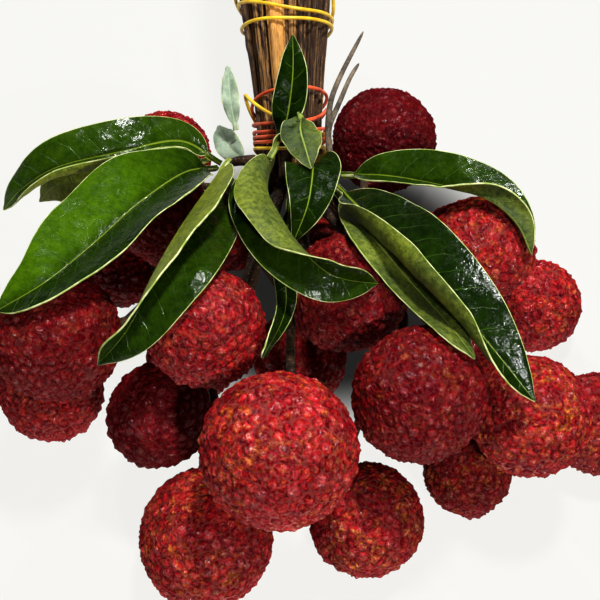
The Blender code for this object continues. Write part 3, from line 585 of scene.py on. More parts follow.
def bark_material():
    """Bark in lengthwise streaks: brown skin, near-black clefts that are partly painted shade, and tan ridges
    that are partly painted highlights.
    """
    m = Shader("bark")
    fibre = m.attribute("fibre", vector=True)
    ridge = m.attribute("ridge")
    tone = m.attribute("tone")
    streak = m.noise(fibre, 1.9, 5, 0.7)
    fine = m.noise(fibre, 6.0, 4, 0.75)
    # Dark clefts and tan ridges: partly the bark's own streaks, partly painted shade and painted highlights
    height = m.math("ADD", m.times(ridge, 0.55), m.times(streak, 0.5))
    colour = m.mix(m.fade(height, 0.26, 0.54), (0.006, 0.003, 0.002), (0.10, 0.042, 0.014))
    tan = m.fade(m.math("ADD", height, m.times(tone, 0.22)), 0.50, 0.70, 0.0, 0.9)
    colour = m.mix(tan, colour, (0.50, 0.25, 0.07))
    pale = m.times(m.fade(fine, 0.53, 0.63), m.fade(height, 0.46, 0.64))
    colour = m.over(colour, pale, 0.85, (0.74, 0.52, 0.26))
    crack = m.fade(m.noise(fibre, 3.3, 3, 0.8), 0.38, 0.46, 1.0, 0.0)
    colour = m.over(colour, crack, 0.85, (0.010, 0.005, 0.003))
    lines = m.bump(streak, 0.0008, 0.8)
    grain = m.bump(fine, 0.0004, 0.8, lines)
    m.set(Base_Color=colour, Roughness=m.fade(fine, 0.3, 0.7, 0.45, 0.8), Normal=grain)
    m.set(Specular_IOR_Level=0.35)
    return m.material


def twig_material(name, dark, light):
    """Plain thin bark for the branches inside the bunch and the thin twigs."""
    m = Shader(name)
    place = m.place()
    mottle = m.noise(place, 260, 4, 0.7)
    colour = m.mix(m.fade(mottle, 0.32, 0.68), dark, light)
    wart = m.fade(m.cells(place, 900), 0.12, 0.3, 1.0, 0.0)
    colour = m.over(colour, wart, 0.5, (0.45, 0.33, 0.18))
    rough = m.bump(m.noise(place, 900, 4, 0.7), 0.0006, 0.8)
    m.set(Base_Color=colour, Roughness=0.7, Normal=m.bump(wart, 0.0002, 0.8, rough))
    m.set(Specular_IOR_Level=0.3)
    return m.material


def wood_material():
    """Bare split wood: golden fibres with brown lines between them."""
    m = Shader("bare_wood")
    fibre = m.attribute("fibre", vector=True)
    ridge = m.attribute("ridge")
    grain = m.noise(fibre, 4.5, 5, 0.7)
    colour = m.mix(m.fade(grain, 0.3, 0.68), (0.40, 0.13, 0.016), (0.90, 0.50, 0.13))
    gap = m.fade(ridge, 0.05, 0.4, 1.0, 0.0)
    colour = m.over(colour, gap, 0.85, (0.10, 0.03, 0.008))
    colour = m.mix(m.fade(m.noise(fibre, 1.0, 2), 0.58, 0.72, 0.0, 0.6), colour, (0.50, 0.20, 0.04))
    m.set(Base_Color=colour, Roughness=0.5, Normal=m.bump(grain, 0.0006, 0.7))
    m.set(Specular_IOR_Level=0.45)
    return m.material


def cut_material():
    """Sawn end of a stalk: pale wood, darker pith and rings."""
    m = Shader("cut_end")
    out = m.attribute("out")
    place = m.place()
    uneven = m.math("ADD", out, m.times(m.noise(place, 900), 0.08))
    rings = m.math("SINE", m.times(uneven, 40.0))
    colour = m.mix(m.fade(rings, -1.0, 1.0), (0.50, 0.33, 0.16), (0.68, 0.49, 0.27))
    colour = m.mix(m.fade(out, 0.10, 0.22, 1.0, 0.0), colour, (0.16, 0.08, 0.03))
    colour = m.mix(m.fade(out, 0.84, 0.93), colour, (0.05, 0.025, 0.012))
    m.set(Base_Color=colour, Roughness=0.8, Normal=m.bump(m.noise(place, 2500, 3), 0.0003, 0.6))
    return m.material


def rubber_material(name, dull, bright):
    """A rubber band: translucent-looking colour with a soft sheen and a little dust."""
    m = Shader(name)
    place = m.place()
    colour = m.mix(m.fade(m.noise(place, 240, 3), 0.3, 0.7), dull, bright)
    dust = m.fade(m.noise(place, 1400, 3, 0.7), 0.6, 0.75)
    colour = m.over(colour, dust, 0.25, (0.8, 0.7, 0.5))
    m.set(Base_Color=colour, Roughness=0.42, Normal=m.bump(m.noise(place, 800, 2), 0.0002, 0.4))
    m.set(Specular_IOR_Level=0.5)
    return m.material


def ball(level):
    """Points and triangles of a finely divided ball."""
    bm = bmesh.new()
    bmesh.ops.create_icosphere(bm, subdivisions=level, radius=1.0)
    points = np.array([vert.co[:] for vert in bm.verts])
    faces = [[vert.index for vert in face.verts] for face in bm.faces]
    bm.free()
    return points, faces


def knobs(points, count, seed):
    """For each point on the ball: its height on its knob from 0 to 1, and its knob's number."""
    chance = np.random.default_rng(seed)
    spread = 0.42 * math.sqrt(4 * math.pi / count)
    tips = units(directions(count) + chance.normal(0, spread * 0.75, (count, 3)))
    wavy = np.stack([noise(points * 11, seed + k) for k in (1, 2, 3)], axis=1)
    points = points + 0.35 * spread * wavy
    tree = KDTree(count)
    for index, tip in enumerate(tips):
        tree.insert(tip, index)
    tree.balance()
    near = [tree.find_n(point, 2) for point in points]
    first = np.array([pair[0][2] for pair in near])
    second = np.array([pair[1][2] for pair in near])
    owner = np.array([pair[0][1] for pair in near])
    return (second - first) / (second + first + 1e-9), owner


def ball_for(name, radius):
    """The name of the ball that a fruit's skin is made from."""
    if name in HIDDEN:
        return "hidden"
    if radius > LARGE_FRUIT:
        return "large"
    return "middling" if radius > MIDDLING_FRUIT else "small"


def fruits(skin):
    """Every fruit: a ball with knobs, lumps, a dimple at its stalk and a flat spot where it lies."""
    chance = np.random.default_rng(7)
    shapes = {}
    for key, (level, radius) in BALLS.items():
        points, faces = ball(level)
        count = int(4 * math.pi * radius ** 2 / (HEXAGON * KNOB_PITCH ** 2))
        height, owner = knobs(points, count, KNOB_SEED + level)
        shapes[key] = points, faces, height, owner, count
    for name, (x, y, z, radius, tall) in FRUIT.items():
        points, faces, height, owner, count = shapes[ball_for(name, radius)]
        spin = chance.uniform(0, 2 * math.pi)
        cosine, sine = math.cos(spin), math.sin(spin)
        turn = np.array([[cosine, sine, 0], [-sine, cosine, 0], [0, 0, 1]])
        flip = 1 if chance.uniform() < 0.5 else -1
        local = (points * [1, 1, flip]) @ turn
        toward = local @ frame_from(stalk_direction(name))
        size = chance.uniform(*KNOB_SIZES, count)[owner]
        low = skin_radius(radius - KNOB_HEIGHT, tall, local[:, 2])
        seed = int(chance.integers(1000))
        lumps = LUMP * noise(toward * 2.2, seed) + SMALL_LUMP * noise(toward * 4.7, seed + 1)
        cone = np.minimum(1, height * 1.2) ** 0.7
        ridges = 0.6 * (1 - np.abs(noise(toward * radius * 0.62, seed + 2))) ** 3
        ridges += 0.4 * (1 - np.abs(noise(toward * radius * 1.4, seed + 4))) ** 3
        # How much a point faces down and towards the front: it raises the knobs there and drives the skin's
        # painted light from below
        under = smooth_step(0.15 - 0.9 * toward[:, 2] - 0.45 * toward[:, 1])
        bold = KNOB_ABOVE + KNOB_MORE_BELOW * under
        relief = KNOB_SHARE * size * cone * bold + (RIDGES - RIDGES_LESS * bold) * ridges
        relief += GRAIN_SHARE * noise(toward * radius * 2.6, seed + 5)
        out = low + lumps - SKIN_DROP + KNOB_HEIGHT * relief
        shell = np.array([x, y, z]) + toward * out[:, None]
        shell[:, 2] = np.maximum(shell[:, 2], 0)
        outward = faces if flip > 0 else [face[::-1] for face in faces]
        obj = piece(name + "_skin", shell, outward, [skin], name, "lychee_skin")
        # Painted shade: fruit that lie in shadow get a darker skin
        patches, shade = PATCHES_AND_SHADE.get(name, PATCHES_AND_SHADE_HIDDEN)
        shade = shade * SHADE_SHARE + SHADE_SPREAD * noise(toward * 1.5, seed + 3)
        attribute(obj, "knob", relief)
        attribute(obj, "cell", height)
        attribute(obj, "tint", chance.uniform(-1, 1, count)[owner])
        attribute(obj, "patches", np.full(len(points), patches))
        attribute(obj, "shade", np.clip(shade, 0, SHADE_MOST))
        attribute(obj, "under", under)


SHEAF_AXIS = unit(CUT_END - NECK)
SHEAF_LENGTH = float(np.linalg.norm(CUT_END - NECK))
SHEAF_RIGHT = unit(np.cross(SHEAF_AXIS, [0, 0, 1]))
SHEAF_UP = np.cross(SHEAF_RIGHT, SHEAF_AXIS)
SHEAF_STATIONS = (SHEAF_LENGTH, 104, 86, 70, 54, 40, 26, 12, 0, FRONT)


def sheaf_point(along, angle, radius):
    turn = math.radians(angle)
    return NECK + SHEAF_AXIS * along + radius * (SHEAF_RIGHT * math.cos(turn) + SHEAF_UP * math.sin(turn))


def ring_radius(along):
    return RING_AT_NECK + RING_GROWTH * smooth_step(along / FLARE_LENGTH)


def stalk_radius(along):
    return STALK_AT_NECK + STALK_GROWTH * smooth_step(along / FLARE_LENGTH)


def sheaf_run(angle, share, seed):
    """Centre line and radii of one stalk in the sheaf, from its cut end to the front of the neck."""
    chance = np.random.default_rng(seed)
    lean = chance.uniform(-1.5, 1.5)
    trim = chance.uniform(-7, 0)
    points, radii = [], []
    for along in SHEAF_STATIONS:
        here = along + trim if along == SHEAF_LENGTH else along
        loose = smooth_step((here - 8) / 60)
        turn = angle + lean * loose + chance.uniform(-0.3, 0.3) * loose
        out = share * ring_radius(here) + chance.uniform(-0.3, 0.3) * loose
        points.append(sheaf_point(here, turn, out))
        radii.append(float(stalk_radius(here)) * (1 if share > 0.9 else 0.88))
    return np.array(points), np.array(radii)


def between(rows, at):
    """Catmull-Rom values between rows of numbers, at fractional row numbers."""
    rows = np.asarray(rows, float)
    padded = np.concatenate([[2 * rows[0] - rows[1]], rows, [2 * rows[-1] - rows[-2]]])
    index = np.clip(np.floor(at).astype(int), 0, len(rows) - 2)
    t = (at - index).reshape(-1, *[1] * (rows.ndim - 1))
    a, b, c, d = (padded[index + k] for k in range(4))
    bend = (2 * a - 5 * b + 4 * c - d) * t ** 2
    return 0.5 * (2 * b + (c - a) * t + bend + (3 * b - a - 3 * c + d) * t ** 3)


def arc_length(line):
    return np.concatenate([[0], np.cumsum(np.linalg.norm(np.diff(line, axis=0), axis=1))])


def smooth_line(points, radii, step):
    """Points, radii and distances along a smooth line, one of each every step."""
    at = np.linspace(0, len(points) - 1, 20 * len(points))
    line = between(points, at)
    sizes = np.interp(at, np.arange(len(radii)), radii)
    length = arc_length(line)
    even = np.linspace(0, length[-1], max(4, int(length[-1] / step)))
    middle = np.stack([np.interp(even, length, line[:, k]) for k in range(3)], axis=1)
    return middle, np.interp(even, length, sizes), even


def swept(line, radii, around, raised):
    """Points of a tube, with raised (rows by angles) added to its radius, and its quads."""
    ahead = units(np.gradient(line, axis=0))
    side = [unit(np.cross(ahead[0], ASKEW))]
    for direction in ahead[1:]:
        side.append(unit(side[-1] - (side[-1] @ direction) * direction))
    side = np.array(side)
    up = np.cross(ahead, side)
    angles = np.linspace(0, 2 * math.pi, around, endpoint=False)
    out = radii[:, None] + raised
    points = line[:, None] + out[..., None] * (
        side[:, None] * np.cos(angles)[None, :, None] + up[:, None] * np.sin(angles)[None, :, None])
    rows = len(line)
    first = np.arange(rows - 1)[:, None] * around
    here = np.arange(around)[None]
    after = (here + 1) % around
    faces = np.stack([first + here, first + after, first + around + after, first + around + here], axis=-1)
    return points.reshape(-1, 3), faces.reshape(-1, 4).tolist()


def bark_relief(rows, angles, seed):
    """Ridges, clefts, swollen joints and knots on a stalk, in millimetres, rows by angles."""
    chance = np.random.default_rng(seed)
    s, a = np.meshgrid(rows, angles, indexing="ij")
    round_about = np.stack([np.cos(a) * 2.1, np.sin(a) * 2.1, s * 0.045], axis=-1)
    ridges = noise(round_about * 1.3, seed) * 0.5 + noise(round_about * 2.9, seed + 1) * 0.35
    ridges += noise(round_about * 6, seed + 2) * 0.2
    cleft = np.clip(0.22 - np.abs(noise(round_about * 1.6, seed + 3)), 0, 1) / 0.22
    relief = 0.34 * ridges - 0.55 * cleft * smooth_step(noise(round_about * 0.7, seed + 4) + 0.6)
    place = chance.uniform(4, 22)
    while place < rows[-1]:
        wide = chance.uniform(1.4, 2.6)
        relief += chance.uniform(0.15, 0.5) * np.exp(-((s - place) / wide) ** 2)
        turn = chance.uniform(0, 2 * math.pi)
        apart = np.arccos(np.clip(np.cos(a - turn), -1, 1))
        relief += chance.uniform(0.3, 1.0) * np.exp(-((s - place - 1) / 1.9) ** 2 - (apart / 0.45) ** 2)
        place += chance.uniform(16, 38)
    return relief, np.clip(0.5 + 0.55 * ridges - 0.5 * cleft, 0, 1)


def end_caps(points, around):
    """Points and faces that close a tube's ends with rings, and how far out on its end each new point is."""
    extra, added, out = [], [], []
    total = len(points)
    for ring in (np.arange(around), np.arange(total - around, total)):
        rim = points[ring]
        middle = rim.mean(axis=0)
        last = ring
        for share in CAP_RINGS:
            base = total + len(extra)
            extra += [middle + (point - middle) * share for point in rim]
            out += [share] * around
            new = np.arange(base, base + around)
            for k in range(around):
                n = (k + 1) % around
                quad = [int(last[k]), int(last[n]), int(new[n]), int(new[k])]
                added.append(quad[::-1] if ring[0] == 0 else quad)
            last = new
        base = total + len(extra)
        extra.append(middle)
        out.append(0.0)
        for k in range(around):
            tri = [int(last[k]), int(last[(k + 1) % around]), base]
            added.append(tri[::-1] if ring[0] == 0 else tri)
    return np.array(extra), added, out


def welded(name, drop_beyond=None):
    """Points and faces of a node's own mesh, in the layout's millimetres, with doubled points joined."""
    bm = bmesh.new()
    bm.from_mesh(NODES[name].data)
    bmesh.ops.remove_doubles(bm, verts=bm.verts, dist=0.00001)
    bmesh.ops.join_triangles(bm, faces=bm.faces, angle_face_threshold=0.7, angle_shape_threshold=0.9)
    if drop_beyond is not None:
        plane = (NECK + SHEAF_AXIS * drop_beyond + LAYOUT) * MM
        everything = bm.verts[:] + bm.edges[:] + bm.faces[:]
        bmesh.ops.bisect_plane(bm, geom=everything, plane_co=plane, plane_no=SHEAF_AXIS, clear_outer=True)
    bm.verts.index_update()
    points = np.array([vert.co[:] for vert in bm.verts]) / MM - LAYOUT
    faces = [[vert.index for vert in face.verts] for face in bm.faces]
    bm.free()
    return points, faces


def strands(line, sizes, along, count, seed):
    """Thin stalks that run side by side inside one round outline, with a slow twist."""
    chance = np.random.default_rng(seed)
    ahead = units(np.gradient(line, axis=0))
    side = units(np.cross(ahead, ASKEW))
    up = np.cross(side, ahead)
    start = chance.uniform(0, 2 * math.pi)
    for index in range(count):
        share = chance.uniform(0.34, 0.50) if count > 2 else chance.uniform(0.42, 0.56)
        turn = start + 2 * math.pi * index / count + chance.uniform(-0.6, 0.6) * along / SHEAF_LENGTH
        out = sizes * (1 - share) * 1.02
        wander = 0.10 * noise(np.stack([along * 0.06, along * 0 + index, along * 0 + seed], axis=-1), seed)
        outward = side * np.cos(turn)[:, None] + up * np.sin(turn)[:, None]
        middle = line + out[:, None] * outward + wander[:, None] * up
        trim = int(chance.integers(1, 6)) if index else 0
        yield middle[trim:], sizes[trim:] * share, along[trim:]


def stalks(bark, twig, cut):
    """The sheaf's stalks with bark and cut ends, each joined to its branches inside the bunch."""
    angles = np.linspace(0, 2 * math.pi, STRAND_SIDES, endpoint=False)
    for seed, (name, (angle, share)) in enumerate(STALKS.items(), 11):
        chance = np.random.default_rng(seed + 40)
        inner, inner_faces = welded(name, drop_beyond=BRANCHES_END)
        points, faces, parts = [inner], [list(face) for face in inner_faces], [1] * len(inner_faces)
        values = {"fibre": [np.zeros((len(inner), 3))], "ridge": [np.zeros(len(inner))],
                  "tone": [np.zeros(len(inner))], "out": [np.zeros(len(inner))]}
        total = len(inner)
        count = 3 if share > 0.9 and not name.startswith("leaf") else 2
        run = smooth_line(*sheaf_run(angle, share, seed), STRAND_STEP)
        bundle = list(strands(*run, count, seed * 7))
        if name in INNER_STALKS:
            bundle.append(smooth_line(*sheaf_run(*INNER_STALKS[name], seed + 60), STRAND_STEP))
        for number, (line, sizes, along) in enumerate(bundle):
            relief, ridge = bark_relief(along, angles, seed * 3 + number * 101)
            relief = relief * 0.5 * np.minimum(1, sizes / 1.5)[:, None]
            shell, quads = swept(line, sizes, STRAND_SIDES, relief)
            caps, more, out = end_caps(shell, STRAND_SIDES)
            points += [shell, caps]
            faces += [[total + corner for corner in face] for face in quads + more]
            parts += [0] * len(quads) + [2] * len(more)
            s, a = np.meshgrid(along, angles, indexing="ij")
            round_about = 1.5 + number
            lengthwise = s * 0.17 + seed * 7.3
            fibre = np.stack([np.cos(a) * round_about, np.sin(a) * round_about, lengthwise], axis=-1)
            added = len(shell) + len(caps)
            values["fibre"] += [fibre.reshape(-1, 3), np.zeros((len(caps), 3))]
            values["ridge"] += [ridge.ravel(), np.zeros(len(caps))]
            values["tone"].append(np.full(added, chance.uniform(-1, 1)))
            values["out"] += [np.ones(len(shell)), np.array(out)]
            total += added
        obj = piece(name + "_bark", np.vstack(points), faces, [bark, twig, cut], name, "bark", parts)
        for key, rows in values.items():
            attribute(obj, key, np.concatenate(rows))


def broken_stalk(wood, cut):
    """The bare, split stalk on top of the sheaf: strips of fibre with gaps between them and a torn end."""
    stations = np.array([SHEAF_LENGTH - 4, 104, 84, 66, 50, 36, 24, 16, 11])
    turns = np.interp(stations, (11, 60, 125), (108, 110, 107))
    points = np.array([sheaf_point(s, a, float(ring_radius(s))) for s, a in zip(stations, turns)])
    radii = np.array([3.2, 3.2, 3.1, 3.0, 2.8, 2.5, 2.2, 1.6, 0.6])
    line, sizes, along = smooth_line(points, radii, 0.8)
    around = 40
    angles = np.linspace(0, 2 * math.pi, around, endpoint=False)
    s, a = np.meshgrid(along, angles, indexing="ij")
    twist = a + 0.12 * np.sin(s / 17.0)
    strips = np.abs(np.sin(twist * 2.5 + 0.4)) ** 0.5
    lines = noise(np.stack([np.cos(a) * 7, np.sin(a) * 7, s * 0.05], axis=-1), 5)
    relief = -0.75 * (1 - strips) + 0.16 * lines
    shell, faces = swept(line, sizes, around, relief * np.minimum(1, sizes / 2.0)[:, None])
    caps, more, out = end_caps(shell, around)
    parts = [0] * len(faces) + [1] * len(more)
    obj = piece("broken_stalk_wood", np.vstack([shell, caps]), faces + more, [wood, cut],
                "broken_stalk", "bare_wood", parts)
    fibre = np.stack([np.cos(a) * 2.6, np.sin(a) * 2.6, s * 0.07], axis=-1).reshape(-1, 3)
    attribute(obj, "fibre", np.vstack([fibre, np.zeros((len(caps), 3))]))
    attribute(obj, "ridge", np.concatenate([strips.ravel(), np.zeros(len(caps))]))
    attribute(obj, "out", np.concatenate([np.ones(len(shell)), out]))


def from_node(name, ending, material, slot):
    """A piece with a node's own shape, rounded off."""
    obj = piece(name + ending, *welded(name), [material], name, slot)
    finer = obj.modifiers.new("rounded", "SUBSURF")
    finer.levels = finer.render_levels = 2


def spline(points, count):
    """Smooth line through the points, evenly spaced, with the share of its length at each given point."""
    given = np.asarray(points, float)
    ends = np.vstack([2 * given[0] - given[1], given, 2 * given[-1] - given[-2]])
    line, knots = [], [0]
    for index in range(1, len(ends) - 2):
        a, b, c, d = ends[index - 1:index + 3]
        for t in np.linspace(0, 1, 24, endpoint=False):
            bend = (2 * a - 5 * b + 4 * c - d) * t ** 2 + (3 * b - a - 3 * c + d) * t ** 3
            line.append(0.5 * (2 * b + (c - a) * t + bend))
        knots.append(len(line))
    line = np.array(line + [given[-1]])
    length = arc_length(line)
    at = np.linspace(0, length[-1], count)
    even = np.stack([np.interp(at, length, line[:, k]) for k in range(3)], axis=1)
    return even, length[np.array(knots)] / length[-1]


def leaf_sheet(rib, half, roll=0, left=(15, -15), right=(15, -15), widest=(0.7, 0.85)):
    """Grid of points on a leaf, from its stalk to its tip and from its left edge to its right edge."""
    line, knots = spline(rib, LEAF_ROWS)
    share = np.linspace(0, 1, LEAF_ROWS)

    def along(value):
        if isinstance(value, tuple):
            return np.interp(share, knots, value)
        return np.full(LEAF_ROWS, float(value))

    ahead = units(np.gradient(line, axis=0))
    face = units(unit(FACING) - (ahead @ unit(FACING))[:, None] * ahead)
    side = np.cross(ahead, face)
    turn = np.radians(along(roll))[:, None]
    across = side * np.cos(turn) - face * np.sin(turn)
    up = face * np.cos(turn) + side * np.sin(turn)
    blade = np.clip((share - 0.07) / 0.93, 0, 1)
    width = blade ** widest[0] * (1 - blade) ** widest[1]
    width = np.maximum(half * width / width.max(), 0.8)
    grid = np.zeros((LEAF_ROWS, 2 * LEAF_COLUMNS + 1, 3))
    grid[:, LEAF_COLUMNS] = line
    for sign, (fold, curl) in ((-1, left), (1, right)):
        first, more = np.radians(along(fold)), np.radians(along(curl))
        edge = line.copy()
        for column in range(1, LEAF_COLUMNS + 1):
            angle = (first + more * (column - 0.5) / LEAF_COLUMNS)[:, None]
            step = (width / LEAF_COLUMNS)[:, None]
            edge = edge + step * (sign * across * np.cos(angle) + up * np.sin(angle))
            wave = 0.6 * (column / LEAF_COLUMNS) ** 2 * np.sin(6 * math.pi * share + sign)
            wave *= np.minimum(1, 1.5 * width / half)
            grid[:, LEAF_COLUMNS + sign * column] = edge + up * wave[:, None]
    return grid


def grid_faces(rows, columns):
    faces = []
    for row in range(rows - 1):
        for column in range(columns - 1):
            corner = row * columns + column
            faces.append((corner, corner + 1, corner + columns + 1, corner + columns))
    return faces


def lifted(grid, balls, below):
    """Raise a leaf towards LIFT_POINT until it is clear of the balls and of the leaves below it."""
    rows, columns = grid.shape[:2]
    points = grid.reshape(-1, 3)
    reach = np.linalg.norm(points - LIFT_POINT, axis=1)
    ray = (points - LIFT_POINT) / reach[:, None]
    offset = balls[:, :3] - LIFT_POINT
    middle = ray @ offset.T
    inside = balls[:, 3] ** 2 - (offset ** 2).sum(axis=1) + middle ** 2
    entry = np.where(inside > 0, middle - np.sqrt(np.maximum(inside, 0)), 1e6)
    limit = entry.min(axis=1)
    eye = Vector(LIFT_POINT)
    for tree, _ in below:
        for index, direction in enumerate(ray):
            distance = tree.ray_cast(eye, Vector(direction))[3]
            if distance is not None:
                limit[index] = min(limit[index], distance - LEAF_OVER_LEAF)
    faces = grid_faces(rows, columns)
    need = np.maximum(reach - limit, 0).reshape(rows, columns)
    for _ in range(4):
        lift = need.copy()
        for _ in range(60):
            wide = np.pad(lift, 1, mode="edge")
            mean = (wide[:-2, 1:-1] + wide[2:, 1:-1] + wide[1:-1, :-2] + wide[1:-1, 2:]) / 4
            lift = np.maximum(need, mean)
        raised = points - ray * lift.reshape(-1, 1)
        tree = BVHTree.FromPolygons([Vector(p) for p in raised], faces)
        flat = need.reshape(-1)
        for _, low in below:
            for point in low.reshape(-1, 3):
                away = np.linalg.norm(point - LIFT_POINT)
                _, _, face, distance = tree.ray_cast(eye, Vector((point - LIFT_POINT) / away))
                if face is not None and distance > away - LEAF_OVER_LEAF:
                    for corner in faces[face]:
                        lacking = distance - away + LEAF_OVER_LEAF
                        flat[corner] = max(flat[corner], lift.reshape(-1)[corner] + lacking)
        need = flat.reshape(rows, columns)
    return raised.reshape(grid.shape), tree


def stalk_room():
    """Balls along every stalk's own mesh, which the leaves are laid over."""
    found = []
    for name in [*STALKS, "thin_twigs"]:
        mesh = NODES[name].data
        points = np.array([vert.co[:] for vert in mesh.vertices]) / MM - LAYOUT
        for edge in mesh.edges:
            a, b = points[edge.vertices[0]], points[edge.vertices[1]]
            count = max(1, int(np.linalg.norm(b - a) / 2.0))
            found += [a + (b - a) * k / count for k in range(count)]
    found = np.unique(np.round(np.array(found), 1), axis=0)
    return np.column_stack([found, np.full(len(found), LEAF_OVER_STALK)])


def leaf_shapes():
    """Every leaf's grid of points, each one laid over the ones before it."""
    fruit_balls = np.column_stack([CENTRES, REACH + LEAF_OVER_FRUIT])
    sheaf_balls = np.array([
        [*sheaf_point(along, 0, 0), ring_radius(along) + stalk_radius(along) + LEAF_OVER_SHEAF]
        for along in np.arange(-3, 80, 3.0)])
    balls = np.vstack([fruit_balls, stalk_room(), sheaf_balls])
    below, sheets = [], {}
    for name, shape in LEAVES.items():
        sheet = leaf_sheet(**shape)
        if name not in LEAVES_DUSTY:
            sheet, tree = lifted(sheet, balls, below)
            below.append((tree, sheet))
        sheets[name] = sheet
    return sheets


def leaf(name, sheet, materials):
    """A leaf as a thin blade with a pale margin, a raised rib below, and a round foot."""
    rows, columns = FINE_ROWS, FINE_COLUMNS
    grid = between(sheet, np.linspace(0, LEAF_ROWS - 1, rows))
    grid = between(grid.transpose(1, 0, 2), np.linspace(0, 2 * LEAF_COLUMNS, columns)).transpose(1, 0, 2)
    middle = columns // 2
    to_tip = np.clip((np.linspace(0, 1, rows) - TIP_START) / TIP_LENGTH, 0, 0.995)
    rib_line = grid[:, middle:middle + 1].copy()
    grid = rib_line + (grid - rib_line) * np.sqrt(1 - to_tip ** 2)[:, None, None]
    for edge, inner in ((0, 1), (columns - 1, columns - 2)):
        inward = grid[:, inner] - grid[:, edge]
        wide = np.linalg.norm(inward, axis=1)[:, None]
        grid[:, inner] = grid[:, edge] + inward * np.minimum(1, MARGIN / np.maximum(wide, 1e-6))
    along = arc_length(grid[:, middle])
    across = np.zeros((rows, columns))
    for sign in (-1, 1):
        for step in range(1, middle + 1):
            here, before = middle + sign * step, middle + sign * (step - 1)
            wide = np.linalg.norm(grid[:, here] - grid[:, before], axis=1)
            across[:, here] = across[:, before] + sign * wide
    normal = np.cross(np.gradient(grid, axis=1), np.gradient(grid, axis=0))
    normal /= np.linalg.norm(normal, axis=2)[..., None] + 1e-12
    share = np.linspace(0, 1, rows)[:, None]
    half = np.maximum(np.abs(across).max(axis=1), 0.5)[:, None]
    foot = smooth_step((FOOT_END - share) / FOOT_FADE)
    seed = int(name[-2:])
    local = np.stack(np.broadcast_arrays(along[:, None] * 0.16, across * 0.22, np.float64(seed)), axis=-1)
    waves = WAVE * noise(local, seed) + RIPPLE * noise(local * 3.1, seed + 1)
    waves = waves * smooth_step(np.abs(across) / 3.0) * smooth_step(share * 6)
    side = np.where(across > 0, VEIN_LATER * VEIN_SPACING, 0.0)
    vein = along[:, None] - VEIN_SLANT * np.abs(across) - VEIN_BEND * across ** 2 + side
    quilt = QUILT * np.abs(np.sin(math.pi * vein / VEIN_SPACING)) ** 0.6
    quilt = quilt * smooth_step((0.97 - np.abs(across) / half) / 0.3)
    quilt = quilt * smooth_step(np.abs(across) / 1.5)
    rim = smooth_step((half - np.abs(across)) / 0.5)
    round_foot = foot * np.sqrt(np.clip(1 - (across / FOOT_WIDTH) ** 2, 0, 1)) * FOOT
    keel = KEEL * np.exp(-(across / KEEL_WIDTH) ** 2) * (1 - 0.75 * share)
    groove = GROOVE * np.exp(-(across / GROOVE_WIDTH) ** 2) * (1 - share) * (1 - foot)
    blade = BLADE_RIM + (BLADE - BLADE_RIM) * rim
    upper = grid + normal * (waves + quilt + blade - groove + round_foot)[..., None]
    lower = grid + normal * (waves + quilt - blade - keel - round_foot)[..., None]
    count = rows * columns
    faces, parts = [], []
    for index, (a, b, c, d) in enumerate(grid_faces(rows, columns)):
        column = index % (columns - 1)
        edge = column in (0, columns - 2)
        faces.append((a, b, c, d))
        parts.append(2 if edge else 0)
        faces.append((count + d, count + c, count + b, count + a))
        parts.append(2 if edge else 1)
    rim_line = [row * columns for row in range(rows)]
    rim_line += [(rows - 1) * columns + column for column in range(1, columns)]
    rim_line += [row * columns + columns - 1 for row in range(rows - 2, -1, -1)]
    rim_line += list(range(columns - 2, 0, -1))
    for a, b in zip(rim_line, rim_line[1:] + rim_line[:1]):
        faces.append((a, b, count + b, count + a))
        parts.append(2)
    points = np.vstack([upper.reshape(-1, 3), lower.reshape(-1, 3)])
    obj = piece(name + "_blade", points, faces, materials, name, "leaf", parts)
    # The upper face's yellowing is partly painted light and shade
    yellow_and_light, yellow_under = YELLOWING_AND_LIGHT[name]
    bright = np.clip(yellow_and_light + 0.10 * noise(local * 0.8, seed + 5), 0, 1)
    gloss = np.full(across.shape, DULL_GLOSS if name in LEAVES_DULL else 1.0)
    if name == "leaf_01":
        # The largest leaf is bright on one side of its rib, as painted light, and shines on the other
        bright = np.clip(bright * smooth_step((across + 2.0) / 6.0) * smooth_step(share * 2.2) + 0.06, 0, 1)
        gloss = smooth_step((3.0 - across) / 5.0) * 0.92 + 0.08
    under = np.clip(yellow_under + 0.3 * noise(local * 0.8, seed + 6), 0, 1)
    rib = np.broadcast_to(0.30 - 0.22 * share + 0.1 * foot, across.shape)
    for key, values in (("along", np.broadcast_to(along[:, None], across.shape)), ("across", across),
                        ("share", np.abs(across) / half), ("rib", rib), ("yellowing_and_light", bright),
                        ("yellowing_under", under), ("gloss", gloss)):
        attribute(obj, key, np.concatenate([values.ravel(), values.ravel()]))


def leaves():
    top, under, dusty, edge = (
        leaf_top_material(), leaf_under_material(), leaf_dusty_material(), leaf_edge_material())
    for name, sheet in leaf_shapes().items():
        faces = [under, top] if name in LEAVES_TURNED else [top, under]
        if name in LEAVES_DUSTY:
            faces = [dusty, dusty]
        leaf(name, sheet, [*faces, edge])


def area_light(name, place, aim, size, power):
    lamp = bpy.data.lights.new(name, "AREA")
    lamp.shape = "DISK"
    lamp.size = size
    lamp.energy = power
    obj = bpy.data.objects.new(name, lamp)
    bpy.context.scene.collection.objects.link(obj)
    obj.location = place
    obj.rotation_euler = (Vector(aim) - Vector(place)).to_track_quat("-Z", "Y").to_euler()


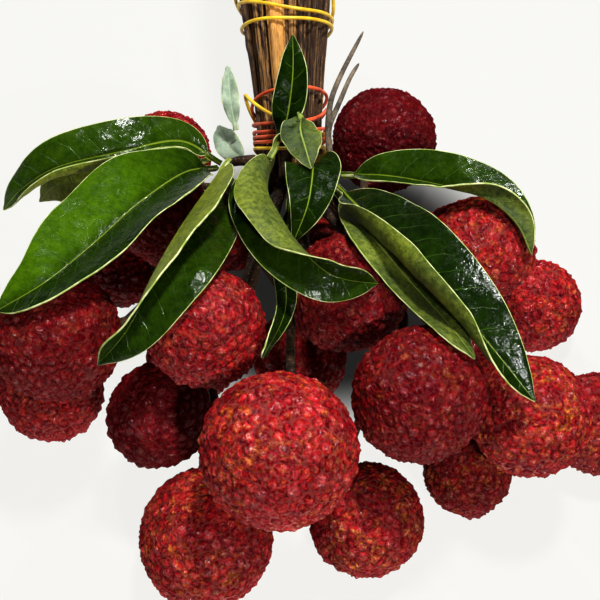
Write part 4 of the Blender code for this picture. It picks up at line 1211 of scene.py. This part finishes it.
def table_material():
    """A white, glowing table with a painted shadow, dark under the middle of the bunch."""
    m = Shader("table_white")
    split = m.nodes.new("ShaderNodeSeparateXYZ")
    m.feed(split.inputs[0], m.place())
    squares = []
    for axis, middle, half in zip("XY", SHADE_MIDDLE, SHADE_HALF):
        share = m.math("DIVIDE", m.math("SUBTRACT", split.outputs[axis], middle), half)
        squares.append(m.times(share, share))
    # Painted shadow: under the middle of the bunch the glow fades and the colour goes dark
    lit = m.fade(m.math("ADD", *squares), *SHADE_FADE, SHADE_LEAST, 1.0)
    m.set(Base_Color=m.mix(lit, (0.008, 0.006, 0.005), (0.04, 0.04, 0.04)), Roughness=0.7)
    m.set(Emission_Color=(1.0, 0.995, 0.965), Emission_Strength=m.times(lit, TABLE_GLOW))
    m.set(Specular_IOR_Level=0.1)
    return m.material


def surroundings():
    """A white table that glows a little, soft lights and a dim room."""
    mesh = bpy.data.meshes.new("table")
    corners = [(x * TABLE_SIZE, y * TABLE_SIZE, 0) for x, y in ((-1, -1), (1, -1), (1, 1), (-1, 1))]
    mesh.from_pydata(corners, [], [(0, 1, 2, 3)])
    table = bpy.data.objects.new("table", mesh)
    bpy.context.scene.collection.objects.link(table)
    table.location.z = -TABLE_DROP
    mesh.materials.append(table_material())
    world = bpy.data.worlds.new("room")
    world.use_nodes = True
    sky = world.node_tree.nodes["Background"]
    sky.inputs["Color"].default_value = (1.0, 0.99, 0.97, 1.0)
    sky.inputs["Strength"].default_value = ROOM_GLOW
    bpy.context.scene.world = world
    for name, settings in LIGHTS.items():
        area_light(name, *settings)
    bpy.context.scene.view_settings.view_transform = "Standard"
    bpy.context.scene.view_settings.gamma = GAMMA


def camera():
    data = bpy.data.cameras.new("camera")
    data.lens = FOCAL_LENGTH
    data.sensor_width = SENSOR_WIDTH
    obj = bpy.data.objects.new("camera", data)
    bpy.context.scene.collection.objects.link(obj)
    place = Vector((LIFT_POINT + LAYOUT) * MM)
    obj.location = place
    obj.rotation_euler = (Vector((AIM + LAYOUT) * MM) - place).to_track_quat("-Z", "Y").to_euler()
    data.clip_start = 0.01
    bpy.context.scene.camera = obj


camera()
surroundings()
fruits(skin_material())
CUT = cut_material()
stalks(bark_material(), twig_material("twig_bark", (0.014, 0.007, 0.004), (0.09, 0.045, 0.02)), CUT)
broken_stalk(wood_material(), CUT)
from_node("thin_twigs", "_bark", twig_material("dry_twig", (0.05, 0.04, 0.03), (0.22, 0.17, 0.12)), "bark")
YELLOW = rubber_material("yellow_rubber", (0.72, 0.42, 0.01), (0.92, 0.66, 0.04))
ORANGE = rubber_material("orange_rubber", (0.62, 0.07, 0.02), (0.85, 0.15, 0.05))
for band in ("band_yellow_upper", "band_yellow_lower"):
    from_node(band, "_rubber", YELLOW, "yellow_rubber")
for band in ("band_orange_loop", "band_orange_wraps"):
    from_node(band, "_rubber", ORANGE, "orange_rubber")
leaves()

bpy.context.view_layer.update()
